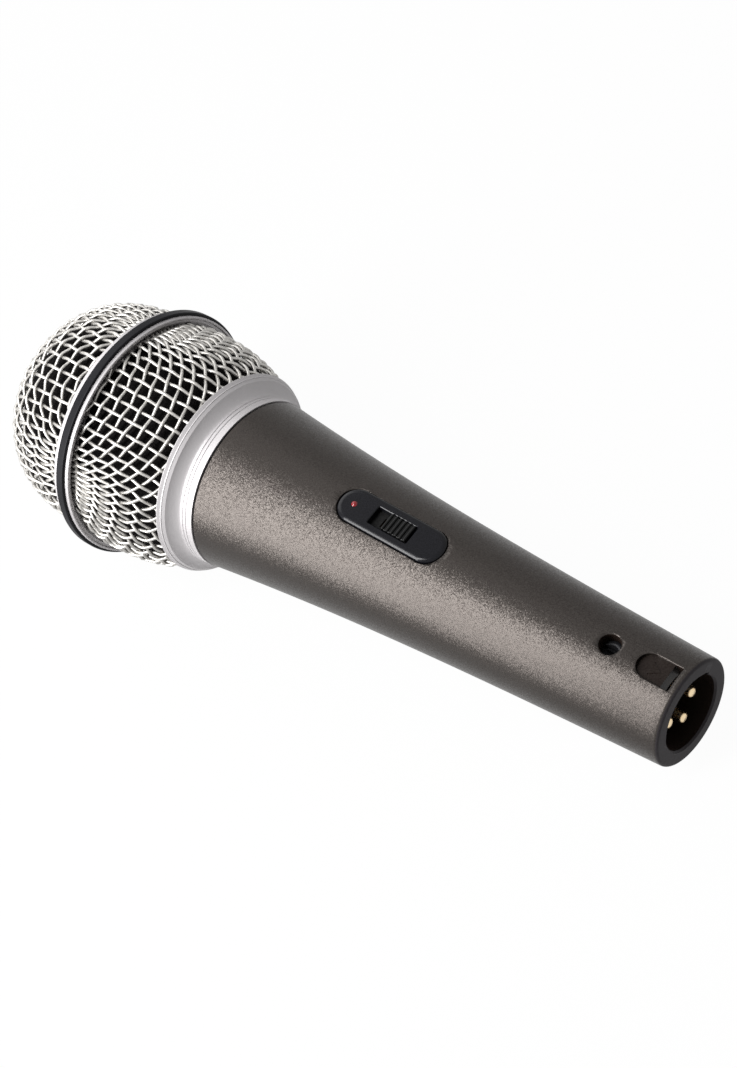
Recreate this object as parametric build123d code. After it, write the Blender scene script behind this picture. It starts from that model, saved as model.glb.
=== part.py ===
"""Hand-held dynamic vocal microphone, as the separate pieces it is put together from.

Millimetres. The long axis is X. The origin is the centre of the connector rim; +X points
out of the connector and the head lies towards -X. +Z points out through the switch.
A "station" is a distance back from the connector rim, so x = -station.
"""
from build123d import *
import math
import os

# ---- Handle -------------------------------------------------------------------------
handle_length = 114.1         # rim to the shoulder that the grille collar meets
rim_radius = 11.64            # outside of the connector end
shoulder_radius = 19.42       # outside of the head end
rim_slope = 0.0403            # radius gained per millimetre at the connector end
shoulder_slope = 0.120        # the same at the head end
handle_wall = 2.2
rim_rounding = 0.8            # outer edge of the connector rim
mouth_chamfer = 0.4           # inner edge of the connector rim
shoulder_width = 1.8          # flat step from the shoulder down to the thread
spigot_length = 7.6
spigot_wall = 1.7
spigot_bore_depth = 15.0      # straight bore for the capsule mount, from the spigot's front
thread_pitch = 1.0
thread_depth = 0.4
thread_runout = 0.9           # plain land at each end of the thread

# ---- Connector ----------------------------------------------------------------------
socket_radius = 8.15
socket_depth = 13.6           # rim to the insert's face
insert_length = 11.0
insert_clearance = 0.05
ledge_thickness = 2.4         # rib inside the handle that stops the insert
ledge_width = 1.1
key_width = 1.6
key_height = 0.45
key_angle = 50.0              # from the latch line, about the axis
key_clearance = 0.1
pin_radius = 1.2
pin_circle_radius = 4.0
pin_setback = 2.2             # pin tips behind the rim
pin_tip_rounding = 0.7
pin_shoulder = 0.3            # thicker part held in the insert
pin_tail = 4.0                # solder end behind the insert
pin_clearance = 0.02
pin_tail_radius = 1.1
solder_cup_radius = 0.7
solder_cup_depth = 2.0
latch_setback = 1.65          # rim to the latch window
latch_window_length = 1.9
latch_width = 5.6
latch_recess_length = 8.65
latch_recess_depth = 0.75
latch_channel_depth = 0.5     # relief in the bore under the window
screw_station = 16.8
screw_hole_radius = 2.3
screw_clearance = 0.1
screw_top_depth = 2.3         # screw end below the handle's skin
screw_length = 4.6
screw_slot_width = 0.7
screw_slot_depth = 0.9
ground_tab_thickness = 0.4
ground_tab_width = 3.2

# ---- Switch -------------------------------------------------------------------------
plate_station = 57.4          # connector end of the plate
plate_length = 26.5
plate_width = 8.0
plate_thickness = 1.5
plate_proud = 0.25
plate_gap = 0.2
plate_rounding = 0.6
window_setback = 8.0          # plate end to window
window_length = 10.0
window_width = 4.2
button_length = 6.7
button_end_gap = 0.1
button_side_gap = 0.15
button_proud = 0.35           # button skin above the plate
rib_count = 6
rib_height = 0.35
dot_radius = 0.65
dot_setback = 3.6             # from the head end of the plate
dot_depth = 0.6
dot_proud = 0.3
dot_clearance = 0.02
can_length = 12.4
can_width = 5.6
can_height = 4.2
can_wall = 0.35
ear_reach = 3.3               # each mounting ear, past the can
ear_thickness = 0.5
opening_clearance = 0.25      # handle opening round the ears
base_thickness = 0.9
part_clearance = 0.05         # between pieces that are pushed together
stem_length = 2.4
stem_width = 2.0
stem_gap = 0.1
contact_gap = 0.15            # moving contact above the terminals
contact_length = 4.2
contact_width = 1.6
contact_thickness = 0.4
terminal_spacing = 3.6
terminal_length = 0.9
terminal_thickness = 0.4
terminal_drop = 3.0
plate_screw_radius = 0.8
plate_screw_head_radius = 1.3
plate_screw_head_height = 0.9
plate_screw_bite = 0.8

# ---- Grille head --------------------------------------------------------------------
collar_gap = 0.4              # dark joint line between handle and collar
collar_step = 0.2             # collar stands this much outside the shoulder
thread_clearance = 0.08
collar_band_length = 2.3
collar_groove_width = 0.3
collar_groove_depth = 0.18
collar_length = 7.4           # handle shoulder to the lip's front
ridge_setback = 1.8           # ridge behind the lip's front
ridge_drop = 1.45             # ridge below the lip
lip_fit = 0.44                # lip clear of the wire
lip_wall = 0.45
lip_rounding = 0.3
skirt_length = 1.6            # inner skirt past the lip, inside the wire
skirt_wall = 1.6
seal_thickness = 0.6
seal_width = 1.15
seal_clearance = 0.05
wire_thickness = 1.4          # two crossing wires
strand_pitch = 5.84           # every second wire of the cloth is a strand here
strand_width = 0.9
strand_overlap = 0.1          # each layer of strands past the middle of the cloth
strand_run = 6.0              # longest straight run of a strand
strand_angle = 106.0          # one strand runs over the pole here, from +Y towards +Z
strand_foot = 1.2             # strands end this far past the curve's middle
strand_steps = 900            # points walked along the meridian to space the strands
hem_length = 1.0              # ring that the strands end in, under a lip
mesh_insertion = 1.1          # wire tucked under a lip
basket_length = 22.6          # lip's front to the rear edge of the black band
basket_swell = 7.38           # rear basket at the hoop, outside the handle's shoulder
basket_depth = 31.2           # half-axis of the rear basket's curve
dome_step = 0.5               # front basket at the hoop, inside the rear one
dome_depth = 27.06            # half-axis of the front basket's curve
band_width = 2.0
band_thickness = 1.3
band_seat_depth = 0.6         # groove for the band in the hoop
hoop_wall = 1.25              # hoop outside the rear basket
hoop_rear_width = 1.3
hoop_relief_length = 0.6      # dark gap round the wire at the hoop's rear edge
hoop_lip_wall = 0.8
hoop_front_width = 1.6
hoop_front_step = 0.2         # front edge of the hoop, below its rear edge
web_width = 1.3
web_depth = 0.35              # web reaches inside the wire by this much
dome_setback = 3.4            # rear edge of the band to the middle of the dome's curve
roundness = 2.84              # exponent of both curves; 2 would be an ellipse
foam_thickness = 3.5
foam_clearance = 0.3

# ---- Capsule ------------------------------------------------------------------------
mount_flange_thickness = 1.2
mount_flange_overlap = 1.1    # flange on the spigot's front face
mount_clearance = 0.05
mount_wall = 3.4
neck_length = 12.0
can_passage = 2.7             # capsule clear of the collar's bore, all round
can_body_length = 25.0
capsule_wall = 1.0
cap_height = 3.0
cap_rounding = 1.2
cap_thickness = 1.0
cap_hole_radius = 1.5
cap_hole_circle = 9.0
cap_hole_count = 8
screen_thickness = 0.3
carrier_wall = 2.6
pole_thickness = 2.0
coil_inner_gap = 0.2
coil_thickness = 0.45
coil_outer_gap = 0.25
coil_length = 4.5
coil_travel = 0.2             # each way
yoke_wall = 2.4
yoke_base = 2.5
magnet_setback = 0.8          # magnet narrower than the pole plate, all round
magnet_length = 7.0
former_length = 1.4
film_thickness = 0.25
dome_cap_height = 2.2
surround_gap = 0.3
surround_rise = 0.8
clamp_width = 1.3
clamp_thickness = 1.0
diaphragm_drop = 4.0          # clamp seat below the front of the can
felt_thickness = 2.0
felt_ledge = 1.5              # carrier's step that the felt sits on
capsule_base_thickness = 1.5
lug_spacing = 7.0
lug_radius = 0.7
lug_reach = 1.6

# ---- Inner wiring -------------------------------------------------------------------
lead_radius = 0.55


# ---- Shapes shared by many pieces ---------------------------------------------------
def at(station, radius):
    """Corner of an outline: distance back from the rim, distance from the axis."""
    return (-station, radius)


def spin(outline):
    """Solid swept out by a closed half-outline turned round the long axis."""
    return revolve(make_face(outline), Axis.X)


def turned(*corners):
    """Turned solid with straight-sided corners given as (station, radius)."""
    return spin(Polyline(*[at(*corner) for corner in corners], close=True))


def tube(start, end, outer, inner=0.0):
    return turned((start, inner), (end, inner), (end, outer), (start, outer))


def drill(position, direction, radius, length):
    """Cylinder from a point, along a direction."""
    return Plane(origin=position, z_dir=direction) * Cylinder(
        radius, length, align=(Align.CENTER, Align.CENTER, Align.MIN))


def block(plane, centre, size):
    """Box on a plane; centre gives the middle of its lowest face."""
    return plane * Pos(*centre) * Box(*size, align=(Align.CENTER, Align.CENTER, Align.MIN))


def save(name, shape):
    export_step(shape, f"parts/{name}.step")


# ---- Handle -------------------------------------------------------------------------
def handle_radius(station):
    """Outside of the handle: a cubic from the rim to the shoulder, with both end slopes."""
    t = station / handle_length
    start, end = rim_slope * handle_length, shoulder_slope * handle_length
    growth = shoulder_radius - rim_radius
    return (rim_radius + start * t + (3 * growth - 2 * start - end) * t ** 2
            + (start + end - 2 * growth) * t ** 3)


def taper(inset):
    """Solid of the handle's taper, made smaller all round by an inset."""
    third = handle_length / 3
    curve = Bezier(
        at(0, rim_radius - inset),
        at(third, rim_radius + rim_slope * third - inset),
        at(2 * third, shoulder_radius - shoulder_slope * third - inset),
        at(handle_length, shoulder_radius - inset))
    sides = Polyline(curve @ 1, at(handle_length, 0), at(0, 0), curve @ 0)
    return spin(curve + sides)


spigot_radius = shoulder_radius - shoulder_width
spigot_bore = spigot_radius - spigot_wall
spigot_end = handle_length + spigot_length
bore_start = spigot_end - spigot_bore_depth
insert_end = socket_depth + insert_length
ledge_end = insert_end + ledge_thickness
ledge_radius = socket_radius - ledge_width


def thread_profile():
    """Spigot with V-grooves at the thread's pitch, as closed outline corners."""
    corners = [(handle_length, 0), (handle_length, spigot_radius)]
    first = handle_length + thread_runout
    turns = int((spigot_length - 2 * thread_runout) / thread_pitch)
    for turn in range(turns):
        start = first + turn * thread_pitch
        corners += [(start, spigot_radius),
                    (start + thread_pitch / 2, spigot_radius - thread_depth)]
    corners += [(first + turns * thread_pitch, spigot_radius),
                (spigot_end, spigot_radius), (spigot_end, 0)]
    return corners


def latch_cut():
    """Thumb recess, latch window through the wall, and the relief below it."""
    middle = latch_width / 2
    floor = handle_radius(latch_setback + latch_recess_length / 2) - latch_recess_depth
    round_station = latch_setback + latch_recess_length - middle
    straight = Pos(-(latch_setback + round_station) / 2, 0, floor) * Box(
        round_station - latch_setback, latch_width, shoulder_radius,
        align=(Align.CENTER, Align.CENTER, Align.MIN))
    end = drill((-round_station, 0, floor), (0, 0, 1), middle, shoulder_radius)
    window = Pos(-(latch_setback + latch_window_length / 2), 0, 0) * Box(
        latch_window_length, latch_width, shoulder_radius,
        align=(Align.CENTER, Align.CENTER, Align.MIN))
    channel = tube(0, latch_setback + latch_window_length, socket_radius + latch_channel_depth)
    channel &= Box(handle_length, latch_width, shoulder_radius,
                   align=(Align.CENTER, Align.CENTER, Align.MIN))
    return straight + end + window + channel


def key_rib(extra):
    """Rib on the insert, or with extra all round, the keyway it slides in."""
    start = 0 if extra else socket_depth
    width = key_width + 2 * extra
    top = socket_radius + key_height + extra
    rib = Pos(-(start + insert_end) / 2, 0, pin_circle_radius + pin_radius) * Box(
        insert_end - start, width, top - pin_circle_radius - pin_radius,
        align=(Align.CENTER, Align.CENTER, Align.MIN))
    return rib.rotate(Axis.X, -key_angle)


def handle_body():
    shell = taper(0)
    rim_edge = shell.edges().filter_by(GeomType.CIRCLE).sort_by(Axis.X)[-1]
    shell = fillet(rim_edge, rim_rounding)
    shell += turned(*thread_profile())
    shell -= taper(handle_wall) & tube(ledge_end, bore_start, shoulder_radius)
    shell -= tube(bore_start, spigot_end, spigot_bore)
    shell -= tube(0, insert_end, socket_radius)
    shell -= tube(insert_end, ledge_end, ledge_radius)
    shell -= turned((0, 0), (0, socket_radius + mouth_chamfer),
                    (mouth_chamfer, socket_radius), (mouth_chamfer, 0))
    shell -= latch_cut() - tube(0, handle_length, socket_radius)
    shell -= key_rib(key_clearance)
    shell -= drill((-screw_station, 0, 0), (0, 0, 1), screw_hole_radius, shoulder_radius)
    shell -= plate_pocket()
    return shell


# ---- Connector ----------------------------------------------------------------------
pin_places = {                # seen from the front with the latch on top
    "contact_pin_1": (-pin_circle_radius, 0.0),
    "contact_pin_2": (pin_circle_radius, 0.0),
    "contact_pin_3": (0.0, -pin_circle_radius),
}
insert_radius = socket_radius - insert_clearance
held_radius = pin_radius + pin_shoulder
screw_top = handle_radius(screw_station) - screw_top_depth
screw_bottom = screw_top - screw_length
pin_end = insert_end + pin_tail


def connector_insert():
    insert = tube(socket_depth, insert_end, insert_radius) + key_rib(0)
    for y, z in pin_places.values():
        insert -= drill((0, y, z), (-1, 0, 0), held_radius + pin_clearance, handle_length)
    seat = drill((-screw_station, 0, screw_bottom - screw_clearance), (0, 0, 1),
                 screw_hole_radius, shoulder_radius)
    return insert - seat


def contact_pin(y, z):
    """Solid pin: rounded contact end, thicker part in the insert, and a solder cup."""
    pin = drill((-pin_setback, y, z), (-1, 0, 0), pin_radius, socket_depth - pin_setback)
    tip = pin.edges().filter_by(GeomType.CIRCLE).sort_by(Axis.X)[-1]
    pin = fillet(tip, pin_tip_rounding)
    pin += drill((-socket_depth, y, z), (-1, 0, 0), held_radius, insert_length)
    pin += drill((-insert_end, y, z), (-1, 0, 0), pin_tail_radius, pin_tail)
    cup = drill((-pin_end, y, z), (1, 0, 0), solder_cup_radius, solder_cup_depth)
    return pin - cup


def retaining_screw():
    screw = drill((-screw_station, 0, screw_bottom), (0, 0, 1),
                  screw_hole_radius - screw_clearance, screw_length)
    slot = Pos(-screw_station, 0, screw_top - screw_slot_depth) * Box(
        2 * screw_hole_radius, screw_slot_width, screw_slot_depth,
        align=(Align.CENTER, Align.CENTER, Align.MIN))
    return screw - slot


def ground_tab():
    """Flat strip behind the insert, from pin 1 out to the handle's inner rib."""
    y, z = pin_places["contact_pin_1"]
    reach = ledge_radius - insert_clearance
    strip = tube(insert_end, insert_end + ground_tab_thickness, reach)
    strip &= Pos(-insert_end, -shoulder_radius, 0) * Box(
        handle_length, 2 * (shoulder_radius - pin_circle_radius + 2 * pin_radius), ground_tab_width)
    return strip - drill((0, y, z), (-1, 0, 0), pin_tail_radius + pin_clearance, handle_length)


# ---- Switch -------------------------------------------------------------------------
plate_end = plate_station + plate_length
plate_middle = (plate_station + plate_end) / 2
plate_rise = handle_radius(plate_end) - handle_radius(plate_station)
plate_tilt = math.atan2(plate_rise, plate_length)
skin_radius = (handle_radius(plate_end) + handle_radius(plate_station)) / 2
# On this plane x runs towards the connector, z outwards, and z = 0 is the handle's skin.
switch_plane = Plane(
    origin=(-plate_middle, 0, skin_radius),
    x_dir=(math.cos(plate_tilt), 0, -math.sin(plate_tilt)),
    z_dir=(math.sin(plate_tilt), 0, math.cos(plate_tilt)))
plate_bottom = plate_proud - plate_thickness
window_middle = plate_length / 2 - window_setback - window_length / 2
button_travel = window_length - button_length - 2 * button_end_gap
button_middle = window_middle + window_length / 2 - button_end_gap - button_length / 2
can_bottom = plate_bottom - can_height
base_top = can_bottom + base_thickness
terminal_top = base_top + part_clearance
terminal_bottom = can_bottom - terminal_drop
contact_bottom = terminal_top + contact_gap
stem_bottom = contact_bottom + contact_thickness
ear_length = can_length + 2 * ear_reach
ear_middle = (can_length + ear_reach) / 2
screw_places = (-ear_middle, ear_middle)
dot_place = -(plate_length / 2 - dot_setback)
terminal_places = [step * terminal_spacing for step in (-1, 0, 1)]


def plate_pocket():
    """Room in the handle for the plate, and the opening that the switch goes through."""
    outline = SlotOverall(plate_length + 2 * plate_gap, plate_width + 2 * plate_gap)
    pocket = extrude(switch_plane * Pos(0, 0, plate_bottom) * outline, shoulder_radius)
    opening = block(switch_plane, (0, 0, plate_bottom - shoulder_radius / 2),
                    (ear_length + 2 * opening_clearance, can_width + 2 * opening_clearance,
                     shoulder_radius / 2))
    return pocket + opening


def switch_plate():
    plate = extrude(SlotOverall(plate_length, plate_width), plate_thickness)
    plate = fillet(plate.faces().sort_by(Axis.Z)[-1].edges(), plate_rounding)
    plate = switch_plane * Pos(0, 0, plate_bottom) * plate
    plate -= block(switch_plane, (window_middle, 0, plate_bottom),
                   (window_length, window_width, plate_thickness))
    plate -= block_cylinder(dot_place, plate_proud - dot_depth, dot_radius + dot_clearance,
                            dot_depth)
    for place in screw_places:
        plate -= block_cylinder(place, plate_bottom, plate_screw_radius + part_clearance,
                                plate_screw_bite + part_clearance)
    return plate


def block_cylinder(place, bottom, radius, height):
    """Upright cylinder on the switch's plane, on its middle line."""
    return switch_plane * Pos(place, 0, bottom) * Cylinder(
        radius, height, align=(Align.CENTER, Align.CENTER, Align.MIN))


def indicator_dot():
    stem = block_cylinder(dot_place, plate_proud - dot_depth, dot_radius, dot_depth)
    ball_radius = (dot_radius ** 2 + dot_proud ** 2) / (2 * dot_proud)
    ball = switch_plane * Pos(dot_place, 0, plate_proud + dot_proud - ball_radius) * Sphere(
        ball_radius)
    bead = ball & block_cylinder(dot_place, plate_proud, dot_radius, dot_proud)
    return stem + bead


def switch_slider():
    """Ribbed button in the plate's window, with the stem that drives the contact."""
    width = window_width - 2 * button_side_gap
    bottom = plate_bottom + stem_gap
    skin = plate_proud + button_proud - rib_height
    button = block(switch_plane, (button_middle, 0, bottom),
                   (button_length, width, skin - bottom))
    rib_pitch = button_length / rib_count
    for rib in range(rib_count):
        place = button_middle + (rib - (rib_count - 1) / 2) * rib_pitch
        button += block(switch_plane, (place, 0, skin), (rib_pitch / 2, width, rib_height))
    return button + block(switch_plane, (button_middle, 0, stem_bottom),
                          (stem_length, stem_width, bottom - stem_bottom))


def switch_can():
    """Pressed metal cover, open below, with an ear at each end and a slot for the stem."""
    can = block(switch_plane, (0, 0, can_bottom), (can_length, can_width, can_height))
    can += block(switch_plane, (0, 0, plate_bottom - ear_thickness),
                 (ear_length, can_width, ear_thickness))
    can -= block(switch_plane, (0, 0, can_bottom),
                 (can_length - 2 * can_wall, can_width - 2 * can_wall, can_height - can_wall))
    can -= block(switch_plane, (button_middle - button_travel / 2, 0, can_bottom),
                 (button_travel + stem_length + 2 * stem_gap, stem_width + 2 * stem_gap,
                  can_height))
    for place in screw_places:
        can -= block_cylinder(place, can_bottom, plate_screw_radius + part_clearance, can_height)
    return can


def switch_base():
    base = block(switch_plane, (0, 0, can_bottom),
                 (can_length - 2 * (can_wall + part_clearance),
                  can_width - 2 * (can_wall + part_clearance), base_thickness))
    for place in terminal_places:
        base -= block(switch_plane, (place, 0, can_bottom),
                      (terminal_length + 2 * part_clearance,
                       terminal_thickness + 2 * part_clearance, base_thickness))
    return base


def switch_terminals():
    return Compound(children=[
        block(switch_plane, (place, 0, terminal_bottom),
              (terminal_length, terminal_thickness, terminal_top - terminal_bottom))
        for place in terminal_places])


def switch_contact():
    return block(switch_plane, (button_middle, 0, contact_bottom),
                 (contact_length, contact_width, contact_thickness))


def switch_screws():
    head_top = plate_bottom - ear_thickness
    return Compound(children=[
        block_cylinder(place, head_top - plate_screw_head_height, plate_screw_head_radius,
                       plate_screw_head_height)
        + block_cylinder(place, head_top, plate_screw_radius, ear_thickness + plate_screw_bite)
        for place in screw_places])


# ---- Grille head --------------------------------------------------------------------
def round_radius(distance, depth, radius):
    """Radius of a basket curve at a distance from its middle."""
    return radius * (1 - (distance / depth) ** roundness) ** (1 / roundness)


def round_point(angle, depth, radius):
    """Distance from the middle plane and from the axis, at an angle from the middle plane."""
    reach = ((math.cos(angle) / radius) ** roundness
             + (math.sin(angle) / depth) ** roundness) ** (-1 / roundness)
    return reach * math.sin(angle), reach * math.cos(angle)


def round_curve(middle, side, depth, radius, start, stop, steps=10):
    """Basket curve between two angles from its middle plane; side is +1 towards the tip."""
    points = []
    for step in range(steps + 1):
        distance, across = round_point(start + (stop - start) * step / steps, depth, radius)
        points.append(at(middle + side * distance, across))
    return points


def angle_at(distance, depth, radius):
    return math.atan2(distance, round_radius(distance, depth, radius))


collar_start = handle_length + collar_gap
collar_radius = shoulder_radius + collar_step
collar_bore = spigot_radius + thread_clearance
seal_start = handle_length + seal_clearance
seal_end = seal_start + seal_thickness
seal_inner = spigot_radius + 2 * seal_clearance
seal_outer = seal_inner + seal_width
lip_station = handle_length + collar_length
hoop_station = lip_station + basket_length
band_end = hoop_station + band_width
web_station = (hoop_station + band_end - web_width) / 2
web_end = web_station + web_width
basket_middle = hoop_station
dome_middle = hoop_station + dome_setback
basket_radius = shoulder_radius + basket_swell
dome_radius = basket_radius - dome_step
wire_at_lip = round_radius(basket_middle - lip_station, basket_depth, basket_radius)
lip_radius = wire_at_lip + lip_fit + lip_wall
ridge_station = lip_station - ridge_setback
ridge_radius = lip_radius - ridge_drop
mesh_start = lip_station - mesh_insertion
wire_inner = round_radius(basket_middle - mesh_start, basket_depth - wire_thickness,
                          basket_radius - wire_thickness)
skirt_end = lip_station + skirt_length
foam_inset = wire_thickness + web_depth + foam_clearance
hoop_radius = basket_radius + part_clearance + hoop_wall
band_seat_radius = hoop_radius - band_seat_depth
band_radius = band_seat_radius + band_thickness


def dome_shell(start, outer_depth, outer_radius, thickness):
    """Closed cup towards the tip, from a station behind its middle plane."""
    half_turn = math.pi / 2 * (1 - 1e-9)
    outer = round_curve(dome_middle, 1, outer_depth, outer_radius, 0, half_turn)
    inner = round_curve(dome_middle, 1, outer_depth - thickness, outer_radius - thickness,
                        0, half_turn)
    outer[-1] = at(dome_middle + outer_depth, 0)
    inner[-1] = at(dome_middle + outer_depth - thickness, 0)
    ends = ((-1, 0), (0, -1))
    outline = Spline(*outer, tangents=ends) + Spline(*inner, tangents=ends)
    outline += Line(outer[-1], inner[-1])
    outline += Polyline(outer[0], at(start, outer_radius), at(start, outer_radius - thickness),
                        inner[0])
    return spin(outline)


def basket_shell(start, end, depth, radius, thickness):
    """Open sleeve from a station near the collar to one at the hoop."""
    outer = round_curve(basket_middle, -1, depth, radius,
                        0, angle_at(basket_middle - start, depth, radius))
    inner = round_curve(basket_middle, -1, depth - thickness, radius - thickness,
                        0, angle_at(basket_middle - start, depth - thickness,
                                    radius - thickness))
    outline = Spline(*outer) + Spline(*inner) + Line(outer[-1], inner[-1])
    outline += Polyline(outer[0], at(end, radius), at(end, radius - thickness), inner[0])
    return spin(outline)


def strand_reach(turn, tilt, apex, depth, radius):
    """Distance from the apex to the basket curve, for a ray in a strand's plane."""
    low, high = 0.0, 2 * (depth + radius)
    while high - low > 1e-6:
        reach = (low + high) / 2
        distance = reach * math.cos(turn) * math.cos(tilt) - apex
        across = reach * math.hypot(math.sin(turn), math.cos(turn) * math.sin(tilt))
        if (max(distance, 0) / depth) ** roundness + (across / radius) ** roundness < 1:
            low = reach
        else:
            high = reach
    return low


def strand_tilts(depth, radius):
    """Tilts of the strands' planes, one pitch apart along the meridian that they cross."""
    tilts = [0.0]
    walked = 0.0
    before = (depth, 0.0)
    for step in range(1, strand_steps):
        here = round_point(math.pi / 2 * (1 - step / strand_steps), depth, radius)
        walked += math.dist(before, here)
        before = here
        if walked >= strand_pitch * len(tilts):
            tilts.append(math.atan2(here[1], here[0] + radius))
    return tilts


def strand(middle, side, tilt, depth, radius):
    """One wire: a thin band along the basket, in a plane through a line behind its middle."""
    apex = radius
    thickness = wire_thickness / 2 + strand_overlap
    along = (apex - strand_foot) / math.cos(tilt)
    last_turn = math.atan2(math.sqrt(radius ** 2 - (along * math.sin(tilt)) ** 2), along)
    steps = math.ceil(2 * last_turn * strand_reach(0, tilt, apex, depth, radius) / strand_run)
    turns = [last_turn * (2 * step / steps - 1) for step in range(steps + 1)]
    outline = []
    for sunk, ordered in ((0, turns), (thickness, turns[::-1])):
        for turn in ordered:
            reach = strand_reach(turn, tilt, apex, depth - sunk, radius - sunk)
            outline.append((reach * math.cos(turn), reach * math.sin(turn)))
    up = Vector(-side * math.cos(tilt), math.sin(tilt), 0)
    plane = Plane(origin=at(middle - side * apex, 0), x_dir=up, z_dir=up.cross(Vector(0, 0, 1)))
    return extrude(plane * make_face(Polyline(*outline, close=True)), strand_width / 2, both=True)


def strands(middle, side, depth, radius):
    """Both families of wires: one in the outer half of the cloth, one in the inner half."""
    wires = []
    for quarter, sunk in ((0, 0), (90, wire_thickness / 2 - strand_overlap)):
        for tilt in strand_tilts(depth, radius):
            for way in (1, -1) if tilt else (1,):
                wire = strand(middle, side, way * tilt, depth - sunk, radius - sunk)
                wires.append(wire.rotate(Axis.X, strand_angle + quarter))
    return wires


def hem(start, end, depth, radius):
    """Straight ring between two stations of the rear basket."""
    outer = [round_radius(basket_middle - station, depth, radius) for station in (start, end)]
    return turned((start, outer[0] - wire_thickness), (start, outer[0]),
                  (end, outer[1]), (end, outer[1] - wire_thickness))


def rear_mesh():
    """Woven wire between collar and hoop, with a hem tucked in at each end."""
    mesh = hem(mesh_start, mesh_start + hem_length, basket_depth, basket_radius)
    mesh += strands(basket_middle, -1, basket_depth, basket_radius)
    mesh += tube(web_station - hem_length, web_station, basket_radius + strand_width,
                 basket_radius - wire_thickness)
    return mesh & tube(mesh_start, web_station, basket_radius, wire_inner)


def front_mesh():
    """Woven wire dome, with a hem tucked into the hoop."""
    mesh = tube(web_end, web_end + hem_length, dome_radius + strand_width,
                dome_radius - wire_thickness)
    mesh += strands(dome_middle, 1, dome_depth, dome_radius)
    return mesh & tube(web_end, dome_middle + dome_depth, dome_radius)


def grille_collar():
    """Cast ring: narrow band, fine groove, flared cove, ridge, and a lip over the wire."""
    groove = collar_start + collar_band_length
    groove_end = groove + collar_groove_width
    pocket_start = mesh_start - part_clearance
    cove = Spline(at(groove_end, collar_radius), at(ridge_station, ridge_radius),
                  tangents=((-1, 0.12), (-1, 0.8)))
    outside = Polyline(
        at(collar_start, seal_outer + seal_clearance), at(collar_start, collar_radius),
        at(groove, collar_radius), at(groove, collar_radius - collar_groove_depth),
        at(groove_end, collar_radius - collar_groove_depth), at(groove_end, collar_radius))
    front = Polyline(
        at(ridge_station, ridge_radius), at(lip_station - lip_rounding, lip_radius),
        at(lip_station, lip_radius - lip_rounding), at(lip_station, lip_radius - lip_wall),
        at(pocket_start, lip_radius - lip_wall),
        at(pocket_start, wire_inner - part_clearance),
        at(skirt_end, wire_inner - part_clearance),
        at(skirt_end, wire_inner - skirt_wall),
        at(spigot_end, collar_bore), at(seal_end + seal_clearance, collar_bore),
        at(seal_end + seal_clearance, seal_outer + seal_clearance),
        at(collar_start, seal_outer + seal_clearance))
    return spin(outside + cove + front)


def grille_hoop():
    """Turned ring: a seat for each basket, and a groove for the black band."""
    rear = hoop_station - hoop_rear_width
    relief_end = rear + hoop_relief_length
    seat_radius = basket_radius + part_clearance
    front = band_end + hoop_front_width
    web_radius = min(basket_radius, dome_radius) - wire_thickness - web_depth
    return turned(
        (relief_end, hoop_radius - hoop_lip_wall), (rear, hoop_radius - hoop_lip_wall),
        (rear, hoop_radius),
        (hoop_station, hoop_radius), (hoop_station, band_seat_radius),
        (band_end, band_seat_radius), (band_end, hoop_radius - hoop_front_step),
        (front, hoop_radius - hoop_front_step), (front, dome_radius + part_clearance),
        (web_end, dome_radius + part_clearance), (web_end, web_radius),
        (web_station, web_radius), (web_station, seat_radius), (relief_end, seat_radius))


# ---- Capsule ------------------------------------------------------------------------
flange_end = spigot_end + mount_flange_thickness
neck_start = flange_end - neck_length
can_body_end = flange_end + can_body_length
can_body_radius = collar_bore - can_passage
can_inner = can_body_radius - capsule_wall
neck_radius = spigot_bore - 2 * mount_clearance - mount_wall
neck_inner = neck_radius - capsule_wall
clamp_station = can_body_end - diaphragm_drop
surround_seat = clamp_station - film_thickness
carrier_radius = can_inner - part_clearance
yoke_outer = carrier_radius - carrier_wall - part_clearance
yoke_inner = yoke_outer - yoke_wall
coil_outer = yoke_inner - coil_outer_gap
coil_inner = coil_outer - coil_thickness
pole_radius = coil_inner - coil_inner_gap
magnet_radius = pole_radius - magnet_setback
film_base = surround_seat
pole_front = film_base - former_length - coil_travel
pole_back = pole_front - pole_thickness
magnet_back = pole_back - magnet_length
yoke_back = magnet_back - yoke_base
felt_back = yoke_back - felt_thickness
coil_front = film_base - former_length
base_front = neck_start + capsule_base_thickness


def capsule_housing():
    return turned((neck_start, neck_inner), (neck_start, neck_radius),
                  (flange_end, neck_radius), (flange_end, can_body_radius),
                  (can_body_end, can_body_radius), (can_body_end, can_inner),
                  (flange_end + capsule_wall, can_inner),
                  (flange_end + capsule_wall, neck_inner))


def shock_mount():
    sleeve = tube(bore_start, spigot_end, spigot_bore - mount_clearance,
                  neck_radius + mount_clearance)
    return sleeve + tube(spigot_end, flange_end, spigot_bore + mount_flange_overlap,
                         neck_radius + mount_clearance)


def resonator_cap():
    end = can_body_end + cap_height
    cap = tube(can_body_end, end, can_body_radius)
    front_edge = cap.edges().filter_by(GeomType.CIRCLE).sort_by(Axis.X)[0]
    cap = fillet(front_edge, cap_rounding)
    cap -= tube(can_body_end, end - cap_thickness, can_inner)
    for hole in range(cap_hole_count):
        angle = 2 * math.pi * hole / cap_hole_count
        cap -= drill((-can_body_end, cap_hole_circle * math.cos(angle),
                      cap_hole_circle * math.sin(angle)), (-1, 0, 0),
                     cap_hole_radius, cap_height)
    return cap


def capsule_screen():
    front = can_body_end + cap_height - cap_thickness
    return tube(front - screen_thickness, front, can_inner - part_clearance)


def clamp_ring():
    outer = can_inner - part_clearance
    return tube(clamp_station, clamp_station + clamp_thickness, outer, outer - clamp_width)


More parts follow.
